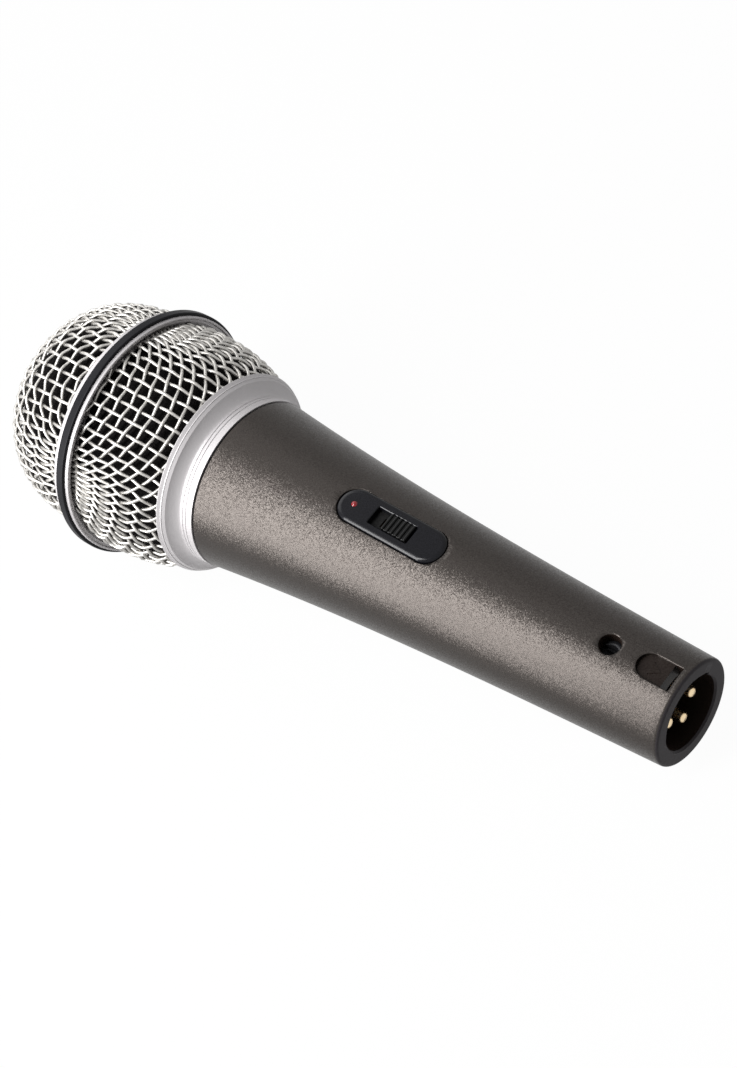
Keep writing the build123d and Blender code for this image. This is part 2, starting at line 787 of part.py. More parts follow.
def diaphragm_surround():
    """Rolled annulus of film between the clamp and the moving dome."""
    inner = coil_outer + surround_gap
    outer = can_inner - part_clearance
    flat = outer - clamp_width
    middle = (inner + flat) / 2
    upper = ThreePointArc(at(clamp_station, inner),
                          at(clamp_station + surround_rise, middle), at(clamp_station, flat))
    lower = ThreePointArc(at(surround_seat, inner),
                          at(surround_seat + surround_rise, middle), at(surround_seat, flat))
    edge = Polyline(upper @ 1, at(clamp_station, outer), at(surround_seat, outer), lower @ 1)
    return spin(upper + edge + lower + Line(lower @ 0, upper @ 0))


def magnet_carrier():
    """Moulded ring that holds felt and yoke in the can and carries the clamped film."""
    bore = yoke_outer + part_clearance
    return turned((flange_end + capsule_wall, bore - felt_ledge),
                  (flange_end + capsule_wall, carrier_radius), (surround_seat, carrier_radius),
                  (surround_seat, bore), (felt_back, bore), (felt_back, bore - felt_ledge))


def yoke():
    cup = tube(yoke_back, pole_front, yoke_outer)
    return cup - tube(magnet_back, pole_front, yoke_inner)


def magnet():
    return tube(magnet_back, pole_back, magnet_radius)


def pole_plate():
    return tube(pole_back, pole_front, pole_radius)


def voice_coil():
    return tube(coil_front - coil_length, coil_front, coil_outer, coil_inner)


def diaphragm():
    """Domed film on its short former."""
    top = film_base + dome_cap_height
    outer = ThreePointArc(*cap_arc(film_base, top, coil_outer))
    inner = ThreePointArc(*cap_arc(film_base, top - film_thickness, coil_inner))
    outline = outer + Line(outer @ 0, inner @ 0) + inner
    outline += Polyline(inner @ 1, at(coil_front, coil_inner), at(coil_front, coil_outer),
                        outer @ 1)
    return spin(outline)


def cap_arc(base, top, radius):
    """Three points on a spherical cap's half-arc: its top, a point between, and its foot."""
    rise = top - base
    ball = (radius ** 2 + rise ** 2) / (2 * rise)
    half = math.asin(radius / ball) / 2
    return (at(top, 0), at(top - ball * (1 - math.cos(half)), ball * math.sin(half)),
            at(base, radius))


def rear_felt():
    return tube(felt_back, yoke_back, yoke_outer)


def capsule_base():
    base = tube(neck_start, base_front, neck_inner - part_clearance)
    for side in (-1, 1):
        base -= drill((-base_front, side * lug_spacing / 2, 0), (1, 0, 0),
                      lug_radius + part_clearance, capsule_base_thickness)
    return base


def capsule_terminals():
    length = capsule_base_thickness + lug_reach
    return Compound(children=[
        drill((-base_front, side * lug_spacing / 2, 0), (1, 0, 0), lug_radius, length)
        for side in (-1, 1)])


# ---- Inner wiring -------------------------------------------------------------------
lug_end = base_front - capsule_base_thickness - lug_reach


def terminal_foot(place):
    """Lower end of a switch terminal, as (station, y, z)."""
    foot = switch_plane.from_local_coords(Vector(place, 0, terminal_bottom))
    return (-foot.X, foot.Y, foot.Z)


hot_foot = terminal_foot(terminal_places[0])
feed_foot = terminal_foot(terminal_places[1])
pin_2_y, pin_2_z = pin_places["contact_pin_2"]
pin_3_y, pin_3_z = pin_places["contact_pin_3"]
lead_routes = {               # points as (station, y, z)
    "lead_capsule_to_switch": [
        (lug_end, lug_spacing / 2, 0), (lug_end - 6, lug_spacing / 2, 0),
        (hot_foot[0] + 16, 4.6, 0.8), (hot_foot[0] + 6, 2.6, -0.6),
        (hot_foot[0] - 0.6, 0.2, hot_foot[2] - 6), hot_foot],
    "lead_switch_to_pin": [
        feed_foot, (feed_foot[0] - 0.4, 0.2, feed_foot[2] - 6),
        (feed_foot[0] - 8, 2.4, feed_foot[2] - 8), (feed_foot[0] - 19, 5.0, 0.8),
        (pin_end + 7, pin_2_y + 0.3, pin_2_z), (pin_end, pin_2_y, pin_2_z)],
    "lead_capsule_to_pin": [
        (lug_end, -lug_spacing / 2, 0), (lug_end - 7, -lug_spacing / 2, -0.2),
        (lug_end - 19, -5.4, -2.6), (lug_end - 35, -4.6, -4.8),
        (lug_end - 51, -5.2, -4.0), (pin_end + 13, -2.6, -4.9),
        (pin_end + 5, pin_3_y - 0.2, pin_3_z), (pin_end, pin_3_y, pin_3_z)],
}


def lead(name, route):
    """Round insulated wire: straight runs joined by arcs as wide as the runs allow."""
    points = [Vector(-station, y, z) for station, y, z in route]
    runs = [end - start for start, end in zip(points, points[1:])]
    radii = []
    for before, after in zip(runs, runs[1:]):
        half_turn = math.radians(before.get_angle(after)) / 2
        radii.append(0.45 * min(before.length, after.length) / math.tan(half_turn))
    print(name, "arc radii", [round(radius, 1) for radius in radii])
    path = FilletPolyline(*points, radius=radii)
    section = Plane(origin=points[0], z_dir=runs[0]) * Circle(lead_radius)
    wire = sweep(section, path=path)
    print(name, "volume over section times length",
          round(wire.volume / (math.pi * lead_radius ** 2 * path.length), 4))
    return wire


# ---- All pieces ---------------------------------------------------------------------
os.makedirs("parts", exist_ok=True)

save("handle_body", handle_body())
save("connector_insert", connector_insert())
for pin_name, (pin_y, pin_z) in pin_places.items():
    save(pin_name, contact_pin(pin_y, pin_z))
save("retaining_screw", retaining_screw())
save("ground_tab", ground_tab())

save("switch_plate", switch_plate())
save("indicator_dot", indicator_dot())
save("switch_slider", switch_slider())
save("switch_can", switch_can())
save("switch_base", switch_base())
save("switch_terminals", switch_terminals())
save("switch_contact", switch_contact())
save("switch_screws", switch_screws())

save("seal_ring", tube(seal_start, seal_end, seal_outer, seal_inner))
save("grille_collar", grille_collar())
save("grille_hoop", grille_hoop())
save("hoop_band", tube(hoop_station, band_end, band_radius, band_seat_radius))
save("front_mesh", front_mesh())
save("rear_mesh", rear_mesh())
save("front_foam", dome_shell(web_end, dome_depth - foam_inset, dome_radius - foam_inset,
                              foam_thickness))
save("rear_foam", basket_shell(skirt_end + foam_clearance, web_station,
                               basket_depth - foam_inset, dome_radius - foam_inset,
                               foam_thickness))

save("shock_mount", shock_mount())
save("capsule_housing", capsule_housing())
save("capsule_base", capsule_base())
save("capsule_terminals", capsule_terminals())
save("rear_felt", rear_felt())
save("magnet_carrier", magnet_carrier())
save("yoke", yoke())
save("magnet", magnet())
save("pole_plate", pole_plate())
save("voice_coil", voice_coil())
save("diaphragm", diaphragm())
save("diaphragm_surround", diaphragm_surround())
save("clamp_ring", clamp_ring())
save("resonator_cap", resonator_cap())
save("capsule_screen", capsule_screen())

for lead_name, lead_route in lead_routes.items():
    save(lead_name, lead(lead_name, lead_route))
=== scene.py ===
"""Hand-held dynamic vocal microphone: finishes, turned and moulded pieces, woven wire grille.

The frame's long axis is X, with the head towards -X. A station is a distance in millimetres
back from the connector rim, so x = -station; radii and heights are in millimetres too.
"""
import math

import bpy
from mathutils import Euler, Matrix, Vector


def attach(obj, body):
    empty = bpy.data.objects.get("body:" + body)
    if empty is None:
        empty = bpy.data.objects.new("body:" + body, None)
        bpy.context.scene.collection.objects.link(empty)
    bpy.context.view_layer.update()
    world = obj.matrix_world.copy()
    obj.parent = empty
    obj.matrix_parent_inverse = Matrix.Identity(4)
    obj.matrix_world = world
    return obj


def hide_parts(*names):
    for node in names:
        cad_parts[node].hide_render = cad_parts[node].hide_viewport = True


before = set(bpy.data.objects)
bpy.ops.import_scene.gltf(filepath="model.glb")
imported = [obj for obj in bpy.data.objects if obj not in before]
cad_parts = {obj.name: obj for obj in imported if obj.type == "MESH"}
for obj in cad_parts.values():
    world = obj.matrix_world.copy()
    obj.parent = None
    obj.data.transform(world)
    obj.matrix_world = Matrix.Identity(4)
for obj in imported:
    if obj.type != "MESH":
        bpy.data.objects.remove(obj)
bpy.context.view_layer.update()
MM = 0.001

# ---- Handle -------------------------------------------------------------------------
# A die-cast, turned zinc tube that carries everything: socket at the rim, thread for the
# grille at the shoulder. It is sprayed with a warm grey paint full of metal flakes.
handle_length = 114.1
rim_radius, shoulder_radius = 11.64, 19.42
rim_slope, shoulder_slope = 0.0403, 0.120
rim_rounding = 0.8
mouth_chamfer = 0.4
handle_wall = 2.2
socket_radius = 8.15
ledge_radius, ledge_end, insert_end = 7.05, 27.0, 24.6
spigot_radius, spigot_bore, spigot_end, bore_start = 17.62, 15.92, 121.7, 106.7
thread_pitch, thread_depth, thread_start, thread_turns = 1.0, 0.4, 115.0, 5


def skin(station):
    """Outside radius of the handle."""
    t = station / handle_length
    start, end = rim_slope * handle_length, shoulder_slope * handle_length
    growth = shoulder_radius - rim_radius
    return (rim_radius + start * t + (3 * growth - 2 * start - end) * t ** 2
            + (start + end - 2 * growth) * t ** 3)


def deselect():
    bpy.ops.object.select_all(action="DESELECT")


def pick(piece):
    """Leave only this piece selected, and make it the active one."""
    deselect()
    piece.select_set(True)
    bpy.context.view_layer.objects.active = piece


def new_piece(name, data):
    """Object that holds a mesh or a curve, picked for the operators that follow."""
    piece = bpy.data.objects.new(name, data)
    bpy.context.scene.collection.objects.link(piece)
    pick(piece)
    return piece


def eased(corners, radius, segments=3, least_turn=25.0, open_ends=False):
    """The same outline with a small arc in place of each sharp corner, the two ends maybe not."""
    points = []
    corners = [Vector(corner) for corner in corners]
    for before, here, after in zip(corners[-1:] + corners[:-1], corners, corners[1:] + corners[:1]):
        inward, outward = here - before, after - here
        turn = inward.angle(outward)
        if turn < math.radians(least_turn) or open_ends and here in (corners[0], corners[-1]):
            points.append(here)
            continue
        reach = min(radius * math.tan(turn / 2), 0.45 * inward.length, 0.45 * outward.length)
        first, last = here - inward.normalized() * reach, here + outward.normalized() * reach
        for step in range(segments + 1):
            t = step / segments
            points.append(first * (1 - t) ** 2 + here * (2 * t * (1 - t)) + last * t ** 2)
    return points


def close_up():
    """In edit mode: weld the seams and turn every face outwards."""
    bpy.ops.mesh.select_all(action="SELECT")
    bpy.ops.mesh.remove_doubles(threshold=0.002 * MM)
    bpy.ops.mesh.normals_make_consistent(inside=False)
    bpy.ops.object.mode_set(mode="OBJECT")


def smoothed(piece, crease=32.0):
    """Smooth shading below the crease angle, with flat faces kept flat beside small roundings."""
    pick(piece)
    bpy.ops.object.shade_smooth_by_angle(angle=math.radians(crease))
    even = piece.modifiers.new("even", "WEIGHTED_NORMAL")
    even.keep_sharp = True
    bpy.ops.object.modifier_apply(modifier=even.name)


def lathe(name, outline, steps=180, place=None):
    """Turned piece: an outline of (station, radius) points, spun about the long axis.

    It closes on itself unless both ends lie on the axis. A place carries it to where it belongs.
    """
    deselect()
    places = [Vector((-station * MM, 0, radius * MM)) for station, radius in outline]
    bpy.ops.mesh.primitive_plane_add(size=MM, location=places[0])
    piece = bpy.context.object
    piece.name = name
    bpy.ops.object.transform_apply(location=True, rotation=False, scale=False)
    bpy.ops.object.mode_set(mode="EDIT")
    bpy.ops.mesh.select_all(action="SELECT")
    bpy.ops.mesh.merge(type="CENTER")
    if outline[0][1] > 0 or outline[-1][1] > 0:
        places.append(places[0])
    for here, after in zip(places, places[1:]):
        bpy.ops.mesh.extrude_vertices_move(TRANSFORM_OT_translate={"value": after - here})
    bpy.ops.mesh.select_all(action="SELECT")
    bpy.ops.mesh.spin(steps=steps, angle=math.tau, center=(0, 0, 0), axis=(1, 0, 0))
    close_up()
    if place:
        piece.data.transform(in_metres(place))
    smoothed(piece)
    return piece


def in_metres(place):
    """The same placing with its shift given in metres."""
    return Matrix.Translation(place.translation * MM) @ place.to_3x3().to_4x4()


def loft(name, rings):
    """Closed solid through rings of equally many points, with a flat face on each end."""
    count = len(rings[0])
    faces = [tuple(range(count))[::-1], tuple(range(count * (len(rings) - 1), count * len(rings)))]
    for ring in range(len(rings) - 1):
        for side in range(count):
            a, b = ring * count + side, ring * count + (side + 1) % count
            faces.append((a, b, b + count, a + count))
    mesh = bpy.data.meshes.new(name)
    mesh.from_pydata([point for ring in rings for point in ring], [], faces)
    piece = new_piece(name, mesh)
    bpy.ops.object.mode_set(mode="EDIT")
    close_up()
    return piece


def rounded_outline(length, width, front, back, steps=12):
    """Points of a rectangle with rounded corners, each with its outward normal."""
    points = []
    corners = ((1, 1, front), (-1, 1, back), (-1, -1, back), (1, -1, front))
    for corner, (side_x, side_y, radius) in enumerate(corners):
        for step in range(steps + 1):
            angle = math.pi / 2 * (step / steps + corner)
            normal = Vector((math.cos(angle), math.sin(angle)))
            centre = Vector((side_x * (length / 2 - radius), side_y * (width / 2 - radius)))
            points.append((centre + normal * radius, normal))
    return points


def skin_level(place, u, v):
    """Height above a local plane at which its normal meets the handle's skin."""
    level = 0.0
    for _ in range(14):
        point = place @ Vector((u, v, level))
        level += skin(-point.x) - math.hypot(point.y, point.z)
    return level


def sinking(name, place, outline, floor, edge=0.15, rings=(), top=skin_level):
    """Cutter for a well, with the upper edge that it leaves rounded over all the way round."""
    levels = [(floor, 0.0)] + list(rings)
    sections = []
    for level, spread in levels:
        sections.append([place @ Vector((*(point + normal * spread), level)) * MM
                         for point, normal in outline])
    for angle in (0, 25, 50, 72):
        spread = edge * (1 - math.cos(math.radians(angle)))
        drop = edge * (1 - math.sin(math.radians(angle)))
        section = []
        for point, normal in outline:
            u, v = point + normal * spread
            section.append(place @ Vector((u, v, top(place, u, v) - drop)) * MM)
        sections.append(section)
    sections.append([corner + place.to_3x3() @ Vector((0, 0, 3 * MM)) for corner in sections[-1]])
    return loft(name, sections)


def box_cutter(name, place, centre, size):
    """Plain box on a local plane, from its lowest face's middle."""
    outline = rounded_outline(size[0], size[1], 0.05, 0.05, 1)
    sections = [[place @ Vector((centre[0] + point.x, centre[1] + point.y, level)) * MM
                 for point, _ in outline] for level in (centre[2], centre[2] + size[2])]
    return loft(name, sections)


def carve(piece, *cutters, way="DIFFERENCE"):
    for cutter in cutters:
        cut = piece.modifiers.new(cutter.name, "BOOLEAN")
        cut.operation = way
        cut.object = cutter
        bpy.context.view_layer.objects.active = piece
        bpy.ops.object.modifier_apply(modifier=cut.name)
        bpy.data.objects.remove(cutter)


def dress(piece, material, body, slot, *nodes):
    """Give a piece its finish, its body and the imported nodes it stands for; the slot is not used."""
    piece.data.materials.clear()
    piece.data.materials.append(material)
    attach(piece, body)
    if nodes:
        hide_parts(*nodes)


def new_material(name):
    material = bpy.data.materials.new(name)
    material.use_nodes = True
    nodes, links = material.node_tree.nodes, material.node_tree.links
    return material, nodes, links, nodes["Principled BSDF"]


def node(nodes, kind, **settings):
    made = nodes.new(kind)
    for key, value in settings.items():
        setattr(made, key, value)
    return made


def tinted(nodes, links, shader, value, dark, light):
    """Base colour that goes from the dark to the light one with a value; gives the two stops."""
    tint = node(nodes, "ShaderNodeValToRGB")
    stops = tint.color_ramp.elements
    stops[0].color, stops[1].color = (*dark, 1), (*light, 1)
    links.new(value, tint.inputs["Fac"])
    links.new(tint.outputs["Color"], shader.inputs["Base Color"])
    return stops


def speckled(name, dark, light, grain, metallic=0.0, rough=(0.4, 0.5), bump=0.1, height=0.02,
             specular=0.5, coat=0.0):
    """Finish with a fine grain: two close colours, uneven gloss and a shallow bump."""
    material, nodes, links, shader = new_material(name)
    shader.inputs["Metallic"].default_value = metallic
    shader.inputs["Specular IOR Level"].default_value = specular
    shader.inputs["Coat Weight"].default_value = coat
    place = node(nodes, "ShaderNodeTexCoord")
    noise = node(nodes, "ShaderNodeTexNoise")
    noise.inputs["Scale"].default_value = 1 / (grain * MM)
    noise.inputs["Detail"].default_value = 4
    links.new(place.outputs["Object"], noise.inputs["Vector"])
    stops = tinted(nodes, links, shader, noise.outputs["Fac"], dark, light)
    stops[0].position, stops[1].position = 0.35, 0.65
    gloss = node(nodes, "ShaderNodeMapRange")
    gloss.inputs["To Min"].default_value, gloss.inputs["To Max"].default_value = rough
    links.new(noise.outputs["Fac"], gloss.inputs["Value"])
    links.new(gloss.outputs["Result"], shader.inputs["Roughness"])
    relief = node(nodes, "ShaderNodeBump")
    relief.inputs["Strength"].default_value = bump
    relief.inputs["Distance"].default_value = height * MM
    links.new(noise.outputs["Fac"], relief.inputs["Height"])
    links.new(relief.outputs["Normal"], shader.inputs["Normal"])
    return material


def flake_paint():
    """Grey-brown spray paint whose flakes each lie at their own small tilt."""
    flake_size, flake_tilt = 0.18, 0.2
    material, nodes, links, shader = new_material("flake_paint")
    shader.inputs["Metallic"].default_value = 0.75
    shader.inputs["Roughness"].default_value = 0.36
    shader.inputs["Specular IOR Level"].default_value = 0.1
    place = node(nodes, "ShaderNodeTexCoord")
    flakes = node(nodes, "ShaderNodeTexVoronoi")
    flakes.inputs["Scale"].default_value = 1 / (flake_size * MM)
    links.new(place.outputs["Object"], flakes.inputs["Vector"])
    split = node(nodes, "ShaderNodeSeparateColor")
    links.new(flakes.outputs["Color"], split.inputs["Color"])
    tinted(nodes, links, shader, split.outputs["Red"],
           (0.028, 0.024, 0.022), (0.056, 0.050, 0.046))
    centred = node(nodes, "ShaderNodeVectorMath", operation="SUBTRACT")
    centred.inputs[1].default_value = (0.5, 0.5, 0.5)
    links.new(flakes.outputs["Color"], centred.inputs[0])
    tilt = node(nodes, "ShaderNodeVectorMath", operation="SCALE")
    tilt.inputs["Scale"].default_value = flake_tilt
    links.new(centred.outputs["Vector"], tilt.inputs[0])
    surface = node(nodes, "ShaderNodeNewGeometry")
    added = node(nodes, "ShaderNodeVectorMath", operation="ADD")
    links.new(surface.outputs["Normal"], added.inputs[0])
    links.new(tilt.outputs["Vector"], added.inputs[1])
    unit = node(nodes, "ShaderNodeVectorMath", operation="NORMALIZE")
    links.new(added.outputs["Vector"], unit.inputs[0])
    links.new(unit.outputs["Vector"], shader.inputs["Normal"])
    return material


rim_arc = [(rim_rounding * (1 - math.cos(math.radians(angle))),
            skin(rim_rounding) - rim_rounding * (1 - math.sin(math.radians(angle))))
           for angle in range(0, 91, 15)]
skin_curve = [(station, skin(station)) for station in range(2, 114, 2)]
thread = [(thread_start + half * thread_pitch / 2, spigot_radius - thread_depth * (half % 2))
          for half in range(2 * thread_turns + 1)]
cavity = [(station, skin(station) - handle_wall) for station in range(104, 27, -7)]
handle_outline = eased(
    [(mouth_chamfer, socket_radius), (0, socket_radius + mouth_chamfer)] + rim_arc + skin_curve
    + [(handle_length, shoulder_radius), (handle_length, spigot_radius)] + thread
    + [(spigot_end, spigot_radius), (spigot_end, spigot_bore), (bore_start, spigot_bore),
       (bore_start, skin(bore_start) - handle_wall)] + cavity
    + [(ledge_end, skin(ledge_end) - handle_wall), (ledge_end, ledge_radius),
       (insert_end, ledge_radius), (insert_end, socket_radius)], 0.12)
handle = lathe("handle_casting", handle_outline, steps=240)

latch_setback, latch_window_length, latch_width, latch_recess_length = 1.65, 1.9, 5.6, 8.65
latch_recess_depth, latch_channel_depth = 0.75, 0.5
window_end, recess_end = latch_setback + latch_window_length, latch_setback + latch_recess_length
recess_middle = (latch_setback + recess_end) / 2
recess_floor = skin(recess_middle) - latch_recess_depth
over_recess = Matrix.Translation((-recess_middle, 0, 0))
recess = sinking("recess", over_recess,
                 rounded_outline(latch_recess_length, latch_width, 0.3, latch_width / 2),
                 recess_floor, edge=0.12)
over_window = Matrix.Translation((-(latch_setback + window_end) / 2, 0, 0))
window = box_cutter("window", over_window, (0, 0, socket_radius - 2),
                    (latch_window_length, latch_width, 6.5))
cut_foot = 6                  # cuts outwards from the socket start at this radius
channel_sides = [latch_width / 2 * share for share in (-1, -0.5, 0, 0.5, 1)]
channel_section = [Vector((0, y, math.sqrt((socket_radius + latch_channel_depth) ** 2 - y ** 2)))
                   for y in channel_sides]
channel_section += [Vector((0, latch_width / 2, cut_foot)), Vector((0, -latch_width / 2, cut_foot))]
channel = loft("channel", [[(corner - Vector((station, 0, 0))) * MM for corner in channel_section]
                           for station in (-1, window_end)])
arrow_tip, arrow_reach, arrow_half, arrow_width, arrow_depth = 5.0, 2.4, 1.5, 0.24, 0.15
stroke_length = 2.8
arrow = []
for side in (-1, 1):
    lean = Matrix.Rotation(side * math.atan2(arrow_half, arrow_reach), 4, "Z")
    stroke = Matrix.Translation((-arrow_tip, 0, 0)) @ lean
    arrow.append(box_cutter("arrow_stroke", stroke,
                            (-stroke_length / 2, 0, recess_floor - arrow_depth),
                            (stroke_length, arrow_width, 2 * arrow_depth)))
screw_station, screw_hole_radius, screw_hole_floor = 16.8, 2.3, 6.0
over_screw = Matrix.Translation((-screw_station, 0, 0))
hole_thread_start, hole_half_pitch, hole_thread_depth, hole_thread_halves = 7.4, 0.2, 0.16, 22
hole_threads = [(hole_thread_start + hole_half_pitch * half, -hole_thread_depth * (half % 2))
                for half in range(hole_thread_halves)]
screw_hole = sinking("screw_hole", over_screw,
                     rounded_outline(2 * screw_hole_radius, 2 * screw_hole_radius,
                                     screw_hole_radius, screw_hole_radius),
                     screw_hole_floor, edge=0.2, rings=hole_threads)
key_angle, key_width, key_height = 50.0, 1.8, 0.55
to_key = Matrix.Rotation(math.radians(-key_angle), 4, "X")
keyway = box_cutter("keyway", to_key, (-insert_end / 2 + 0.5, 0, cut_foot),
                    (insert_end + 1, key_width, socket_radius + key_height - cut_foot))

plate_station, plate_length, plate_width, plate_thickness = 57.4, 26.5, 8.0, 1.5
plate_proud, plate_gap = 0.25, 0.2
opening_length, opening_width, opening_height, opening_floor = 19.5, 6.1, 5.0, -6.0
plate_end = plate_station + plate_length
plate_tilt = math.atan2(skin(plate_end) - skin(plate_station), plate_length)
on_skin = (Matrix.Translation((-(plate_station + plate_end) / 2, 0,
                               (skin(plate_end) + skin(plate_station)) / 2))
           @ Matrix.Rotation(plate_tilt, 4, "Y"))
pocket = sinking("pocket", on_skin,
                 rounded_outline(plate_length + 2 * plate_gap, plate_width + 2 * plate_gap,
                                 plate_width / 2 + plate_gap, plate_width / 2 + plate_gap, 20),
                 plate_proud - plate_thickness, edge=0.1)
switch_opening = box_cutter("switch_opening", on_skin, (0, 0, opening_floor),
                            (opening_length, opening_width, opening_height))
carve(handle, recess, window, channel, *arrow, screw_hole, keyway, pocket, switch_opening)
smoothed(handle)

paint = flake_paint()
rim_grey = speckled("rim_grey", (0.024, 0.021, 0.023), (0.036, 0.032, 0.035), 0.12,
                    0.1, (0.5, 0.6), 0.1, specular=0.1)
# Near-black finish: the socket bore and keyway channel are taken as a black-lined socket, and the same
# colour is painted shade on the cast walls of the screw hole, the switch pocket, the window and the
# arrow strokes.
bore_black_and_hole_shade = speckled("bore_black_and_hole_shade", (0.008, 0.005, 0.004), (0.015, 0.010, 0.008), 0.3,
                      0.0, (0.35, 0.5), 0.1, specular=0.12)
# The recess floor is given a colour much darker than the handle's paint: painted shade in the recess.
recess_painted_shade = speckled("recess_painted_shade", (0.011, 0.008, 0.007), (0.019, 0.015, 0.013), 0.25,
                        0.0, (0.25, 0.32), 0.1, specular=0.05)
raw_zinc = speckled("raw_zinc", (0.36, 0.36, 0.37), (0.46, 0.46, 0.47), 0.5, 0.9, (0.35, 0.5), 0.3)
PAINTED, FACED, BORE_AND_HOLE_SHADE, RECESSED, RAW = range(5)


def casting_finish(face):
    """Which finish a face of the casting carries, told from where its middle lies."""
    near, sharp_rim, paint_depth = 0.02, 0.35, 0.15
    middle = face.center / MM
    station, across = -middle.x, math.hypot(middle.y, middle.z)
    inner_skin = skin(min(station, handle_length)) - handle_wall
    in_cavity = station > ledge_end and across < inner_skin + 0.4
    if station > handle_length + near or in_cavity:
        return RAW
    on_rim = station < sharp_rim and across > socket_radius
    on_mouth = station < mouth_chamfer + near and across < socket_radius + 0.5
    if on_rim or on_mouth:
        return FACED
    in_socket = across < socket_radius + near
    in_channel = (station < recess_end and across < socket_radius + latch_channel_depth + 0.2
                  and middle.z > 3)
    if in_socket or in_channel:
        return BORE_AND_HOLE_SHADE
    if middle.z <= 0 or station <= 1.2 or across >= skin(station) - paint_depth:
        return PAINTED
    # Sunk faces other than the recess floor get the near-black finish: painted shade on the walls of
    # holes, grooves and gaps.
    on_recess_floor = (window_end + 0.05 < station < recess_end + 0.3
                       and middle.z > recess_floor - near)
    return RECESSED if on_recess_floor else BORE_AND_HOLE_SHADE


dress(handle, paint, "handle", "handle_paint", "handle_body")
for finish in (rim_grey, bore_black_and_hole_shade, recess_painted_shade, raw_zinc):
    handle.data.materials.append(finish)
for face in handle.data.polygons:
    face.material_index = casting_finish(face)

# ---- Connector ----------------------------------------------------------------------
# Black moulded block pushed into the socket, with three gold-plated pins pressed through
# it. A blackened grub screw holds it, and a thin brass tab earths pin 1 to the casting.
socket_depth, insert_radius = 13.6, 8.10
pin_radius, held_radius, tail_radius, cup_radius = 1.2, 1.5, 1.1, 0.7
pin_tip, tip_rounding, pin_end, cup_depth = 2.2, 0.7, 28.6, 2.0
pin_fit, seat_radius, seat_depth, seat_taper = 0.02, 2.1, 0.5, 0.2
pin_places = {"contact_pin_1": (-4.0, 0.0), "contact_pin_2": (4.0, 0.0),
              "contact_pin_3": (0.0, -4.0)}
insert = lathe("connector_block",
               eased([(socket_depth, 0), (socket_depth, insert_radius),
                      (insert_end, insert_radius), (insert_end, 0)], 0.25, open_ends=True), 120)
rib_gap = 0.1
rib = box_cutter("rib", to_key, (-(socket_depth + insert_end) / 2, 0, cut_foot),
                 (insert_end - socket_depth, key_width - 2 * rib_gap,
                  socket_radius + key_height - rib_gap - cut_foot))
carve(insert, rib, way="UNION")
bores = []
for y, z in pin_places.values():
    along_pin = Matrix.Translation((0, y, z))
    bores.append(lathe("bore", [(13, 0), (13, seat_radius),
                                (socket_depth + seat_depth, seat_radius - seat_taper),
                                (socket_depth + seat_depth, held_radius + pin_fit),
                                (25, held_radius + pin_fit), (25, 0)], 48, place=along_pin))
screw_seat_floor, screw_seat_width = 5.35, 4.6
bores.append(box_cutter("screw_seat", over_screw, (0, 0, screw_seat_floor),
                        (screw_seat_width, screw_seat_width, 4)))
carve(insert, *bores)
smoothed(insert)
insert_black = speckled("insert_black", (0.006, 0.005, 0.005), (0.012, 0.010, 0.010), 0.3,
                        0.0, (0.4, 0.55), 0.15, specular=0.1)
dress(insert, insert_black, "handle", "insert_plastic", "connector_insert")

tip_arc = [(pin_tip + tip_rounding * (1 - math.cos(math.radians(angle))),
            pin_radius - tip_rounding * (1 - math.sin(math.radians(angle))))
           for angle in range(0, 91, 15)]
gold = speckled("pin_gold", (0.76, 0.57, 0.34), (0.88, 0.72, 0.48), 0.5, 1.0, (0.22, 0.34), 0.05)
for name, (y, z) in pin_places.items():
    pin = lathe(f"{name}_gold",
                [(pin_tip, 0)] + tip_arc
                + [(socket_depth, pin_radius), (socket_depth, held_radius),
                   (insert_end, held_radius), (insert_end, tail_radius), (pin_end, tail_radius),
                   (pin_end, cup_radius), (pin_end - cup_depth, cup_radius),
                   (pin_end - cup_depth, 0)], 48, place=Matrix.Translation((0, y, z)))
    dress(pin, gold, "handle", "contact_gold", name)

screw_top, screw_length, screw_radius = skin(screw_station) - 2.3, 4.6, 2.2
slot_width, slot_depth = 0.7, 0.9
upright = Matrix.Rotation(-math.pi / 2, 4, "Y")
screw = lathe("grub_screw",
              eased([(-screw_top, 0), (-screw_top, screw_radius),
                     (screw_length - screw_top, screw_radius), (screw_length - screw_top, 0)],
                    0.3, open_ends=True), 64, place=over_screw @ upright)
carve(screw, box_cutter("slot", over_screw, (0, 0, screw_top - slot_depth), (5.0, slot_width, 2.0)))
smoothed(screw)
black_steel = speckled("black_steel", (0.006, 0.006, 0.007), (0.012, 0.012, 0.013), 0.3,
                       0.3, (0.3, 0.45), 0.2, specular=0.08)
dress(screw, black_steel, "handle", "screw_steel", "retaining_screw")


def refinished(name, material, body, slot, *nodes):
    """Merged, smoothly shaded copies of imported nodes, each with its own finish."""
    for node_name in nodes:
        piece = new_piece(f"{node_name}_{name}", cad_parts[node_name].data.copy())
        bpy.ops.object.mode_set(mode="EDIT")
        bpy.ops.mesh.select_all(action="SELECT")
        bpy.ops.mesh.remove_doubles(threshold=0.001 * MM)
        bpy.ops.object.mode_set(mode="OBJECT")
        smoothed(piece, 30)
        dress(piece, material, body, slot, node_name)


strip_brass = speckled("strip_brass", (0.55, 0.40, 0.17), (0.68, 0.52, 0.26), 0.4, 1.0,
                       (0.25, 0.4), 0.1)
refinished("strip", strip_brass, "handle", "spring_brass", "ground_tab")

